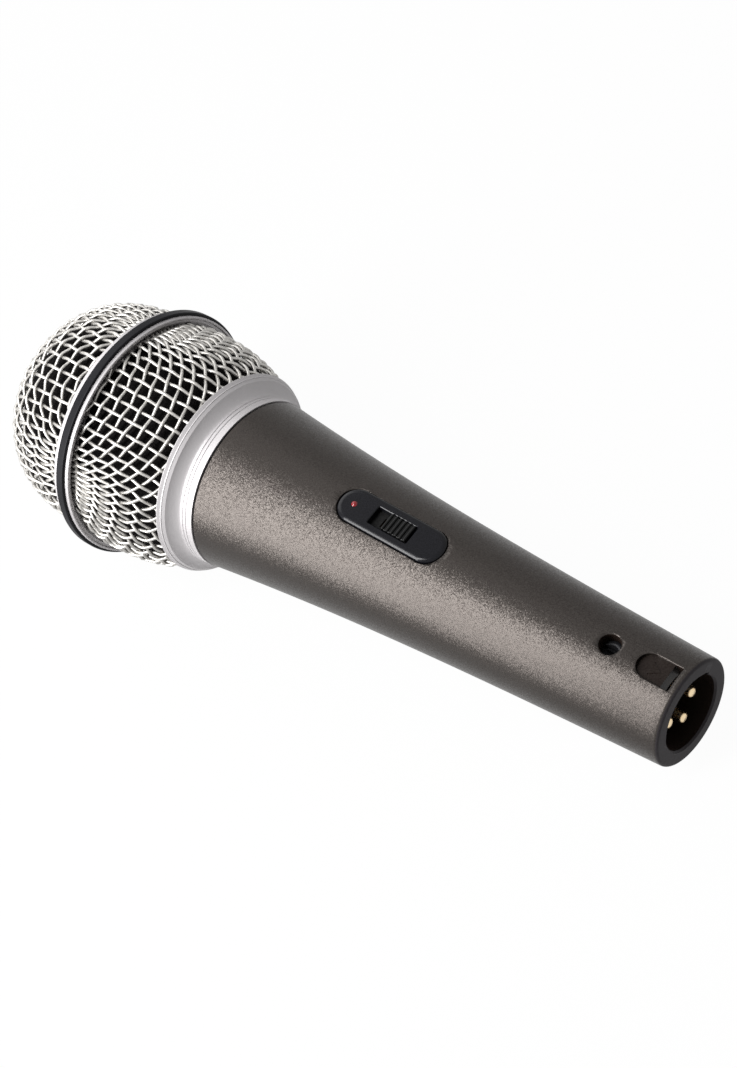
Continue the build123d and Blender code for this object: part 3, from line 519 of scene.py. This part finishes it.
# ---- Slide switch -------------------------------------------------------------------
# Satin black moulded plate let into the handle, with a red bead and a window for the
# ribbed button. The switch itself is a pressed can held under the plate by two screws.
window_middle, window_length, window_width = 0.25, 10.0, 4.2
dot_place, dot_radius, dot_proud, dot_sunk, dot_gap = -9.65, 0.65, 0.3, 0.35, 0.02
button_middle, button_length, button_width, button_skin, rib_height = 1.8, 6.7, 3.9, 0.25, 0.35
plate_bottom, plate_rounding, plate_easing = plate_proud - plate_thickness, 0.6, 1.1
plate_edge = rounded_outline(plate_length, plate_width, plate_width / 2, plate_width / 2, 20)
plate_rings = [(plate_bottom, 0.0)]
for angle in range(0, 91, 15):
    plate_rings.append((plate_proud - plate_rounding * (1 - math.sin(math.radians(angle))),
                        -plate_easing * (1 - math.cos(math.radians(angle)))))
plate = loft("switch_cover", [[on_skin @ Vector((*(point + normal * spread), level)) * MM
                               for point, normal in plate_edge] for level, spread in plate_rings])
plate_window = sinking("plate_window",
                       on_skin @ Matrix.Translation((window_middle, 0, 0)),
                       rounded_outline(window_length, window_width, 0.25, 0.25, 4),
                       plate_bottom - 0.2, edge=0.3, top=lambda place, u, v: plate_proud)
at_dot = on_skin @ Matrix.Translation((dot_place, 0, 0)) @ upright
dot_hole = lathe("dot_hole", [(-1, 0), (-1, dot_radius + dot_gap), (dot_sunk, dot_radius + dot_gap),
                              (dot_sunk, 0)], 48, place=at_dot)
carve(plate, plate_window, dot_hole)
smoothed(plate)
satin_black = speckled("satin_black", (0.002, 0.002, 0.003), (0.005, 0.005, 0.007), 0.25,
                       0.0, (0.19, 0.25), 0.05, specular=0.16)
dress(plate, satin_black, "handle", "switch_black", "switch_plate")

ball_radius = (dot_radius ** 2 + dot_proud ** 2) / (2 * dot_proud)
ball_reach = math.asin(dot_radius / ball_radius)
dot_dome = [(ball_radius * (1 - math.cos(ball_reach * step / 6)) - plate_proud - dot_proud,
             ball_radius * math.sin(ball_reach * step / 6)) for step in range(7)]
dot = lathe("red_bead", dot_dome + [(dot_sunk, dot_radius), (dot_sunk, 0)], 48, place=at_dot)
bead_red = speckled("bead_red", (0.14, 0.002, 0.005), (0.22, 0.004, 0.008), 0.4,
                    0.0, (0.12, 0.2), 0.05, specular=0.2, coat=0.4)
dress(dot, bead_red, "handle", "indicator_red", "indicator_dot")

rib_count, button_foot = 6, plate_bottom + 0.1
rib_pitch = button_length / rib_count
rib_section = ((-0.30, 0.0), (-0.25, 0.7), (-0.15, 0.95), (0, 1), (0.15, 0.95), (0.25, 0.7),
               (0.30, 0.0))
button_profile = [(-button_length / 2, button_foot)]
for rib_number in range(rib_count):
    crest = (rib_number - (rib_count - 1) / 2) * rib_pitch
    for shift, share in rib_section:
        button_profile.append((crest + shift, button_skin + rib_height * share))
button_profile.append((button_length / 2, button_foot))
button_rings = []
for side, inset in ((-1, 0.14), (-0.97, 0.04), (-0.92, 0.0), (0.92, 0.0), (0.97, 0.04), (1, 0.14)):
    button_rings.append([on_skin @ Vector((button_middle + u, side * button_width / 2,
                                           level - (inset if level > 0 else 0))) * MM
                         for u, level in button_profile])
button = loft("ribbed_button", button_rings)
stem_length, stem_width, stem_height, stem_foot = 2.4, 2.0, 2.6, -3.65
stem = box_cutter("stem", on_skin, (button_middle, 0, stem_foot),
                  (stem_length, stem_width, stem_height))
carve(button, stem, way="UNION")
smoothed(button, 50)
button_black = speckled("button_black", (0.003, 0.003, 0.003), (0.007, 0.007, 0.007), 0.2,
                        0.0, (0.25, 0.35), 0.1, specular=0.12)
dress(button, button_black, "button", "button_black", "switch_slider")

# The switch can, seen only through the plate's window, is near-black instead of bright tinned steel:
# painted shade inside the window.
can_steel = speckled("can_steel", (0.004, 0.004, 0.004), (0.010, 0.010, 0.010), 0.6,
                     0.2, (0.35, 0.5), 0.1, specular=0.1)
phenolic = speckled("phenolic", (0.16, 0.07, 0.03), (0.25, 0.12, 0.05), 0.3, 0.0, (0.5, 0.65), 0.2)
refinished("pressed", can_steel, "handle", "can_steel", "switch_can")
refinished("board", phenolic, "handle", "switch_phenolic", "switch_base")
refinished("tinned", strip_brass, "handle", "spring_brass", "switch_terminals")
refinished("spring", strip_brass, "button", "spring_brass", "switch_contact")
refinished("black", black_steel, "handle", "screw_steel", "switch_screws")

# ---- Grille collar and seal -----------------------------------------------------------
# Cast and turned zinc ring, satin nickel: narrow band at the handle, two fine lines,
# broad cove, sharp ridge and a thin lip over the wire. It screws down on a rubber washer.
roundness = 2.84
lip_station, hoop_station, dome_middle = 121.5, 144.1, 147.5
basket_depth, basket_radius = 31.2, 26.8
dome_depth, dome_radius = 27.06, 26.3
wire_thickness = 1.4


def basket_curve(middle, side, depth, radius, start, stop, steps):
    """Points of a basket's outline between two angles; side is +1 towards the tip."""
    points = []
    for step in range(steps + 1):
        angle = start + (stop - start) * step / steps
        reach = ((max(math.cos(angle), 0) / radius) ** roundness
                 + (math.sin(angle) / depth) ** roundness) ** (-1 / roundness)
        points.append((middle + side * reach * math.sin(angle), reach * max(math.cos(angle), 0)))
    return points


def basket_width(distance, depth, radius):
    return radius * (1 - (distance / depth) ** roundness) ** (1 / roundness)


collar_start, collar_radius, collar_bore = 114.5, 19.62, 17.70
line_stations, line_width, line_depth = (116.2, 117.1), 0.18, 0.22
cove_start, ridge_station, ridge_drop, lip_fit, lip_wall = 117.5, 119.7, 1.05, 0.44, 0.45
mesh_start, skirt_end, skirt_wall = 120.4, 123.1, 1.6
seal_start, seal_end, seal_bore, seal_outer = 114.15, 114.75, 17.72, 18.87
seat_gap = 0.05
lip_radius = (basket_width(hoop_station - lip_station, basket_depth, basket_radius)
              + lip_fit + lip_wall)
ridge_radius = lip_radius - ridge_drop
wire_inner = basket_width(hoop_station - mesh_start, basket_depth - wire_thickness,
                          basket_radius - wire_thickness)
fine_lines = []
for station in line_stations:
    fine_lines += [(station - line_width / 2, collar_radius), (station, collar_radius - line_depth),
                   (station + line_width / 2, collar_radius)]
cove_foot, cove_ridge = Vector((cove_start, collar_radius)), Vector((ridge_station, ridge_radius))
cove_length = ridge_station - cove_start
foot_pull, ridge_pull = Vector((1, 0.1)) * cove_length, Vector((0.5, 1.3)) * cove_length
cove = [(cove_start, collar_radius)]
for step in range(1, 12):
    t = step / 12
    cove.append(cove_foot * (2 * t ** 3 - 3 * t ** 2 + 1) + foot_pull * (t ** 3 - 2 * t ** 2 + t)
                + cove_ridge * (3 * t ** 2 - 2 * t ** 3) + ridge_pull * (t ** 3 - t ** 2))
collar_outline = eased(
    [(collar_start, seal_outer + seat_gap), (collar_start, collar_radius)] + fine_lines + cove
    + [(ridge_station, ridge_radius), (lip_station - 0.25, lip_radius),
       (lip_station, lip_radius - 0.2), (lip_station, lip_radius - lip_wall),
       (mesh_start - seat_gap, lip_radius - lip_wall), (mesh_start - seat_gap, wire_inner - seat_gap),
       (skirt_end, wire_inner - seat_gap), (skirt_end, wire_inner - skirt_wall),
       (spigot_end, collar_bore), (seal_end + seat_gap, collar_bore),
       (seal_end + seat_gap, seal_outer + seat_gap)], 0.1)
collar = lathe("collar_ring", collar_outline, 240)
silver = speckled("satin_silver", (0.37, 0.355, 0.36), (0.43, 0.415, 0.42), 0.12, 0.5,
                  (0.42, 0.50), 0.05, specular=0.2)
dress(collar, silver, "grille_head", "collar_silver", "grille_collar")
washer = lathe("rubber_washer", eased([(seal_start, seal_bore), (seal_start, seal_outer),
                                       (seal_end, seal_outer), (seal_end, seal_bore)], 0.12))
rubber = speckled("rubber", (0.010, 0.010, 0.010), (0.018, 0.018, 0.018), 0.4, 0.0, (0.6, 0.8), 0.3,
                  specular=0.3)
dress(washer, rubber, "seal", "seal_rubber", "seal_ring")

# ---- Hoop and band ------------------------------------------------------------------
# Turned ring of the same silver at the widest place, where both baskets are crimped in.
# A black moulded band sits in its groove and stands a little proud.
hoop_radius, band_seat_radius, band_radius = 28.1, 27.5, 28.8
hoop_rear, relief_end, band_end, hoop_front = 143.15, 143.6, 146.1, 147.7
web_start, web_end, web_radius = 144.45, 145.75, 24.55
rear_edge_height, front_edge_drop, edge_rounding = 0.6, 0.2, 0.4
front_radius = hoop_radius - front_edge_drop
rear_edge = [(relief_end, hoop_radius - rear_edge_height), (hoop_rear, hoop_radius - rear_edge_height),
             (hoop_rear, hoop_radius), (hoop_station, hoop_radius)]
front_edge = [(band_end, front_radius), (hoop_front, front_radius),
              (hoop_front, dome_radius + seat_gap), (web_end, dome_radius + seat_gap)]
hoop_outline = (eased(rear_edge, edge_rounding, open_ends=True)
                + [(hoop_station, band_seat_radius), (band_end, band_seat_radius)]
                + eased(front_edge, edge_rounding, open_ends=True)
                + [(web_end, web_radius), (web_start, web_radius),
                   (web_start, basket_radius + seat_gap), (relief_end, basket_radius + seat_gap)])
hoop = lathe("grille_hoop_ring", hoop_outline, 240)
dress(hoop, silver, "grille_head", "hoop_silver", "grille_hoop")
band_outline = eased([(hoop_station, band_seat_radius), (hoop_station, band_radius),
                      (band_end, band_radius), (band_end, band_seat_radius)], 0.3, segments=5)
band = lathe("black_band", band_outline, 240)
band_black = speckled("band_black", (0.003, 0.003, 0.004), (0.007, 0.007, 0.009), 0.2,
                      0.0, (0.40, 0.50), 0.05, specular=0.1)
dress(band, band_black, "grille_head", "band_black", "hoop_band")

# ---- Woven wire ---------------------------------------------------------------------
# Plain weave of bright steel wire, pressed from flat cloth into two round baskets. Where
# the cloth has to pull in, its square cells shear into diamonds. The ends dive into the hoop.
pitch = 2.92
wire_radius, wire_lift = 0.37, 0.33
net_turn = 106.0              # one wire runs over the pole at this angle from +Y towards +Z
samples = 6                   # straight bits of wire between two crossings
net_overrun = 5.0             # how far the net goes on past the basket's middle plane
tuck_length = 0.9


def on_basket(point, depth, radius):
    """Nearest point of the basket's middle surface, along a line from its centre."""
    if point.x <= 0:
        across = radius / math.hypot(point.y, point.z)
        return Vector((point.x, point.y * across, point.z * across))
    size = (point.x / depth) ** roundness + (math.hypot(point.y, point.z) / radius) ** roundness
    return point * size ** (-1 / roundness)


def out_of_basket(point, depth, radius):
    """Outward normal of the basket's middle surface."""
    across = math.hypot(point.y, point.z)
    along = max(point.x, 0) ** (roundness - 1) / depth ** roundness
    side = across ** (roundness - 2) / radius ** roundness
    return Vector((along, point.y * side, point.z * side)).normalized()


def settle(guess, anchors, depth, radius):
    """Move a crossing until it is one pitch from each of its neighbours."""
    for _ in range(40):
        pulled = [anchor + (guess - anchor).normalized() * pitch for anchor in anchors]
        guess = on_basket(sum(pulled, Vector((0, 0, 0))) / len(pulled), depth, radius)
    return guess


def quarter_net(depth, radius, overrun):
    """Crossings of one quarter of the cloth, from the pole to past the middle plane."""
    net = {(0, 0): Vector((depth, 0, 0))}
    for axis in (Vector((0, 1, 0)), Vector((0, 0, 1))):
        count, ahead = 1, axis * pitch
        here = net[0, 0]
        while here.x > -overrun:
            after = settle(here + ahead, (here,), depth, radius)
            net[(count, 0) if axis.y else (0, count)] = after
            here, ahead, count = after, after - here, count + 1
    rows = max(key[0] for key in net)
    for i in range(1, rows + 1):
        for j in range(1, rows + 1):
            if (i - 1, j) in net and (i, j - 1) in net and (i - 1, j - 1) in net:
                before, beside = net[i - 1, j], net[i, j - 1]
                if min(before.x, beside.x) > -overrun:
                    net[i, j] = settle(before + beside - net[i - 1, j - 1], (before, beside),
                                       depth, radius)
    return net, rows


def knot(net, i, j):
    if (abs(i), abs(j)) not in net:
        return None
    place = net[abs(i), abs(j)]
    return Vector((place.x, math.copysign(place.y, i) if i else 0.0,
                   math.copysign(place.z, j) if j else 0.0))


def wire_runs(net, rows, line, warp, depth, radius):
    """Centre line of one wire as lists of local points, waving over and under the others."""
    knots = []
    for step in range(-rows, rows + 1):
        place = knot(net, step, line) if warp else knot(net, line, step)
        knots.append((step, place))
    runs, run = [], []
    for (step, a), (_, b) in zip(knots, knots[1:]):
        if a is None or b is None:
            if run:
                runs.append(run)
                run = []
            continue
        before = knots[step - 1 + rows][1] if step > -rows else None
        after = knots[step + 2 + rows][1] if step + 2 <= rows else None
        before = before or a * 2 - b
        after = after or b * 2 - a
        for sample in range(samples):
            t = sample / samples
            place = (a * 2 + (b - before) * t + (before * 2 - a * 5 + b * 4 - after) * t ** 2
                     + (a * 3 - before - b * 3 + after) * t ** 3) / 2
            place = on_basket(place, depth, radius)
            sway = math.cos(math.pi * t) * (1 if (step + line) % 2 else -1)
            lift = wire_lift * (sway if warp else -sway)
            run.append(place + out_of_basket(place, depth, radius) * lift)
    if run:
        runs.append(run)
    return runs


def tucked(place, edge, dive):
    """Bend a wire inwards where it comes close to the hoop."""
    share = min(max((edge - place.x) / tuck_length, 0.0), 1.0)
    across = max(math.hypot(place.y, place.z), dive)
    inward = 1 - dive * share ** 2 * (3 - 2 * share) / across
    return Vector((place.x, place.y * inward, place.z * inward))


def woven(name, middle, side, depth, radius, first, last, edge, dive):
    """Both wire families of a basket, cut off between two stations."""
    depth, radius = depth - wire_thickness / 2, radius - wire_thickness / 2
    net, rows = quarter_net(depth, radius, net_overrun)
    turn = Matrix.Rotation(math.radians(net_turn), 3, "X")
    pieces = []
    for family in ("warp", "weft"):
        curve = bpy.data.curves.new(f"{name}_{family}", "CURVE")
        curve.dimensions = "3D"
        curve.bevel_depth = wire_radius * MM
        curve.bevel_resolution = 2
        curve.use_fill_caps = True
        for line in range(-rows, rows + 1):
            for run in wire_runs(net, rows, line, family == "warp", depth, radius):
                kept = []
                for place in run + [None]:
                    inside = place is not None and first <= middle + side * place.x <= last
                    if inside:
                        local = turn @ tucked(place, edge, dive)
                        kept.append(Vector((-(middle + side * local.x), local.y, local.z)) * MM)
                        continue
                    if len(kept) > 3:
                        spline = curve.splines.new("POLY")
                        spline.points.add(len(kept) - 1)
                        for point, there in zip(spline.points, kept):
                            point.co = (*there, 1)
                    kept = []
        new_piece(f"{name}_{family}", curve)
        bpy.ops.object.convert(target="MESH")
        piece = bpy.context.object
        bpy.ops.object.shade_smooth()
        pieces.append(piece)
    return pieces


bright_wire = speckled("bright_wire", (0.36, 0.35, 0.33), (0.48, 0.465, 0.445), 0.5, 0.85,
                       (0.38, 0.48), 0.05, specular=0.3)
rear_wire_start, rear_wire_end, rear_tuck = 120.6, 144.3, 2.2
front_wire_start, front_wire_end, front_tuck = 145.9, 200, 0.8
tuck_depth = 0.3
for piece in woven("rear_wire", hoop_station, -1, basket_depth, basket_radius,
                   rear_wire_start, rear_wire_end, rear_tuck, tuck_depth):
    dress(piece, bright_wire, "grille_head", "grille_wire", "rear_mesh")
for piece in woven("front_wire", dome_middle, 1, dome_depth, dome_radius,
                   front_wire_start, front_wire_end, front_tuck, tuck_depth):
    dress(piece, bright_wire, "grille_head", "grille_wire", "front_mesh")

# ---- Foam ---------------------------------------------------------------------------
# Black open-cell foam liners that sit just inside each basket and stop wind and pops. The
# front one is moulded as a cup, the rear one as a sleeve, and both are only pushed in.
foam_inset, foam_thickness, foam_gap = 2.05, 3.5, 0.3
quarter_turn = math.pi / 2
foam_depth, foam_radius = dome_depth - foam_inset, dome_radius - foam_inset
cup_outer = basket_curve(dome_middle, 1, foam_depth, foam_radius, quarter_turn, 0, 48)
cup_inner = basket_curve(dome_middle, 1, foam_depth - foam_thickness, foam_radius - foam_thickness,
                         0, quarter_turn, 24)
front_foam = lathe("front_foam_liner",
                   cup_outer + [(web_end, foam_radius), (web_end, foam_radius - foam_thickness)]
                   + cup_inner, 180)
sleeve_depth, sleeve_radius = basket_depth - foam_inset, dome_radius - foam_inset
sleeve_reach = hoop_station - skirt_end - foam_gap
sleeve_angle = math.atan2(sleeve_reach, basket_width(sleeve_reach, sleeve_depth, sleeve_radius))
inner_angle = math.atan2(sleeve_reach, basket_width(sleeve_reach, sleeve_depth - foam_thickness,
                                                    sleeve_radius - foam_thickness))
sleeve = (basket_curve(hoop_station, -1, sleeve_depth, sleeve_radius, 0, sleeve_angle, 36)
          + basket_curve(hoop_station, -1, sleeve_depth - foam_thickness,
                         sleeve_radius - foam_thickness, inner_angle, 0, 16)
          + [(web_start, sleeve_radius - foam_thickness), (web_start, sleeve_radius)])
rear_foam = lathe("rear_foam_liner", sleeve, 180)
foam_black = speckled("foam_black", (0.001, 0.001, 0.001), (0.008, 0.007, 0.007), 0.35, 0.0,
                      (0.8, 0.95), 0.8, 0.3, specular=0.05)
cell_size, cell_depth = 1.1, 0.5
cells = bpy.data.textures.new("foam_cells", "CLOUDS")
cells.noise_scale = cell_size * MM
for piece, foam_node in ((front_foam, "front_foam"), (rear_foam, "rear_foam")):
    lumps = piece.modifiers.new("cells", "DISPLACE")
    lumps.texture = cells
    lumps.texture_coords = "LOCAL"
    lumps.strength = cell_depth * MM
    lumps.mid_level = 0.8
    pick(piece)
    bpy.ops.object.modifier_apply(modifier=lumps.name)
    dress(piece, foam_black, "grille_head", "foam", foam_node)

# ---- Capsule ------------------------------------------------------------------------
# Moving-coil capsule in a rubber mount in the handle's mouth: moulded can, steel yoke and
# pole plate round a ceramic magnet, wound coil on a film diaphragm, felt and fine cloth.
moulded_black = speckled("moulded_black", (0.012, 0.012, 0.012), (0.022, 0.022, 0.022), 0.4, 0.0,
                         (0.45, 0.6), 0.2)
plated_steel = speckled("plated_steel", (0.48, 0.48, 0.50), (0.60, 0.60, 0.61), 0.5, 1.0,
                        (0.28, 0.4), 0.1)
ceramic = speckled("ceramic", (0.030, 0.030, 0.032), (0.060, 0.060, 0.062), 0.25, 0.2,
                   (0.55, 0.75), 0.4)
pressed_felt = speckled("pressed_felt", (0.22, 0.20, 0.16), (0.42, 0.39, 0.33), 0.35, 0.0,
                        (0.9, 1.0), 1.0, 0.2, specular=0.1)
fine_cloth = speckled("fine_cloth", (0.010, 0.010, 0.010), (0.040, 0.040, 0.040), 0.12, 0.0,
                      (0.7, 0.9), 1.0, 0.1, specular=0.2)
film = speckled("film", (0.50, 0.47, 0.36), (0.62, 0.58, 0.46), 1.5, 0.0, (0.12, 0.2), 0.05)


def wound_copper():
    """Enamelled wire wound round the long axis, one turn beside the next."""
    wave_length = 2.0
    material, nodes, links, shader = new_material("wound_copper")
    shader.inputs["Metallic"].default_value = 1.0
    shader.inputs["Roughness"].default_value = 0.3
    place = node(nodes, "ShaderNodeTexCoord")
    turns = node(nodes, "ShaderNodeTexWave", bands_direction="X")
    turns.inputs["Scale"].default_value = 1 / (wave_length * MM)
    links.new(place.outputs["Object"], turns.inputs["Vector"])
    # The colour goes from dark to light across each wave, darkest where the bump sinks: painted shade
    # between the turns.
    tinted(nodes, links, shader, turns.outputs["Fac"], (0.26, 0.08, 0.02), (0.62, 0.26, 0.09))
    relief = node(nodes, "ShaderNodeBump")
    relief.inputs["Distance"].default_value = 0.05 * MM
    links.new(turns.outputs["Fac"], relief.inputs["Height"])
    links.new(relief.outputs["Normal"], shader.inputs["Normal"])
    return material


refinished("rubber", rubber, "handle", "mount_rubber", "shock_mount")
refinished("moulded", moulded_black, "handle", "capsule_plastic", "capsule_housing",
           "magnet_carrier", "clamp_ring", "resonator_cap")
refinished("board", phenolic, "handle", "switch_phenolic", "capsule_base")
refinished("lugs", strip_brass, "handle", "spring_brass", "capsule_terminals")
refinished("steel", plated_steel, "handle", "pole_steel", "yoke", "pole_plate")
refinished("ceramic", ceramic, "handle", "magnet_ceramic", "magnet")
refinished("pressed", pressed_felt, "handle", "felt", "rear_felt")
refinished("cloth", fine_cloth, "handle", "screen_cloth", "capsule_screen")
refinished("film", film, "handle", "film", "diaphragm_surround")
refinished("film", film, "moving_coil", "film", "diaphragm")
refinished("winding", wound_copper(), "moving_coil", "coil_copper", "voice_coil")

# ---- Inner wiring -------------------------------------------------------------------
# Three thin leads of stranded copper in coloured plastic, soldered from the capsule to the
# switch, from the switch to one pin, and from the capsule to another.
red_cover = speckled("red_cover", (0.42, 0.020, 0.015), (0.52, 0.032, 0.022), 1.0, 0.0,
                     (0.3, 0.42), 0.1)
black_cover = speckled("black_cover", (0.012, 0.012, 0.012), (0.022, 0.022, 0.022), 1.0, 0.0,
                       (0.3, 0.42), 0.1)
refinished("insulated", red_cover, "handle", "lead_red", "lead_capsule_to_switch",
           "lead_switch_to_pin")
refinished("insulated", black_cover, "handle", "lead_black", "lead_capsule_to_pin")

# ---- Studio -------------------------------------------------------------------------
# Plain pale table that the microphone lies on, touching it at the rim and at the band,
# with one tall soft light beside it, a small one at its head and a bright room.
rim_foot, band_foot = Vector((0, 0, -rim_radius)), Vector((-145.1, 0, -band_radius))
table_slope = math.atan2(rim_foot.z - band_foot.z, rim_foot.x - band_foot.x)
bpy.ops.mesh.primitive_plane_add(size=4.0, location=(rim_foot + band_foot) / 2 * MM,
                                 rotation=(0, -table_slope, 0))
table = bpy.context.object
table.name = "table"


def seen_by(nodes, links, *rays):
    """Socket that is 1 for any of these kinds of ray and 0 for the rest."""
    path = node(nodes, "ShaderNodeLightPath")
    seen = path.outputs[rays[0]]
    for ray in rays[1:]:
        either = node(nodes, "ShaderNodeMath", operation="MAXIMUM")
        links.new(seen, either.inputs[0])
        links.new(path.outputs[ray], either.inputs[1])
        seen = either.outputs[0]
    return seen


def mixed(nodes, links, share, first, second):
    """Shader that goes over from the first to the second with the share."""
    mix = node(nodes, "ShaderNodeMixShader")
    for value, socket in zip((share, first, second), mix.inputs):
        links.new(value, socket)
    return mix.outputs[0]


def table_white():
    """Matt pale grey to the lamps, near white to the eye and in gloss, and clear from below."""
    white_share = 0.97
    material, nodes, links, shader = new_material("table_white")
    shader.inputs["Base Color"].default_value = (0.5, 0.5, 0.5, 1)
    shader.inputs["Roughness"].default_value = 1.0
    shader.inputs["Specular IOR Level"].default_value = 0.0
    share = node(nodes, "ShaderNodeMath", operation="MULTIPLY")
    share.inputs[1].default_value = white_share
    links.new(seen_by(nodes, links, "Is Camera Ray", "Is Glossy Ray"), share.inputs[0])
    glow = node(nodes, "ShaderNodeEmission")
    clear = node(nodes, "ShaderNodeBsdfTransparent")
    facing = node(nodes, "ShaderNodeNewGeometry")
    top_side = mixed(nodes, links, share.outputs[0], shader.outputs[0], glow.outputs[0])
    both_sides = mixed(nodes, links, facing.outputs["Backfacing"], top_side, clear.outputs[0])
    links.new(both_sides, nodes["Material Output"].inputs["Surface"])
    return material


table.data.materials.append(table_white())


def white_room(lighting):
    """World that looks white, but lights matt surfaces only at the level given."""
    world = bpy.data.worlds.new("studio")
    bpy.context.scene.world = world
    world.use_nodes = True
    nodes, links = world.node_tree.nodes, world.node_tree.links
    level = node(nodes, "ShaderNodeMapRange")
    level.inputs["To Min"].default_value = lighting
    level.inputs["To Max"].default_value = 1.0
    links.new(seen_by(nodes, links, "Is Camera Ray", "Is Glossy Ray", "Is Transmission Ray"),
              level.inputs["Value"])
    links.new(level.outputs["Result"], nodes["Background"].inputs["Strength"])
    nodes["Background"].inputs["Color"].default_value = (1, 1, 1, 1)


white_room(lighting=0.15)


def softbox(name, place, aim, size, power):
    """Rectangular soft light of so many watts, its first side rising, turned to the aim."""
    light = bpy.data.lights.new(name, "AREA")
    light.shape = "RECTANGLE"
    light.size, light.size_y = size
    light.energy = power
    lamp = bpy.data.objects.new(name, light)
    lamp.location = place
    lamp.rotation_euler = (Vector(aim) - Vector(place)).to_track_quat("-Z", "X").to_euler()
    bpy.context.scene.collection.objects.link(lamp)


middle = Vector((-0.08, 0, 0))
softbox("key", (-0.28, -0.42, 0.32), middle, (1.0, 0.15), 11.5)
softbox("fill", (-0.5, 0.1, 0.3), middle, (0.4, 0.4), 1.2)

camera_data = bpy.data.cameras.new("camera")
camera_data.lens = 81.668
camera_data.sensor_width = 36
camera = bpy.data.objects.new("camera", camera_data)
camera.location = (0.17962, -0.16325, 0.40453)
camera.rotation_euler = Euler([math.radians(angle) for angle in (35.0353, 14.4406, 38.2647)], "XYZ")
bpy.context.scene.collection.objects.link(camera)
bpy.context.scene.camera = camera
bpy.context.scene.view_settings.view_transform = "Standard"
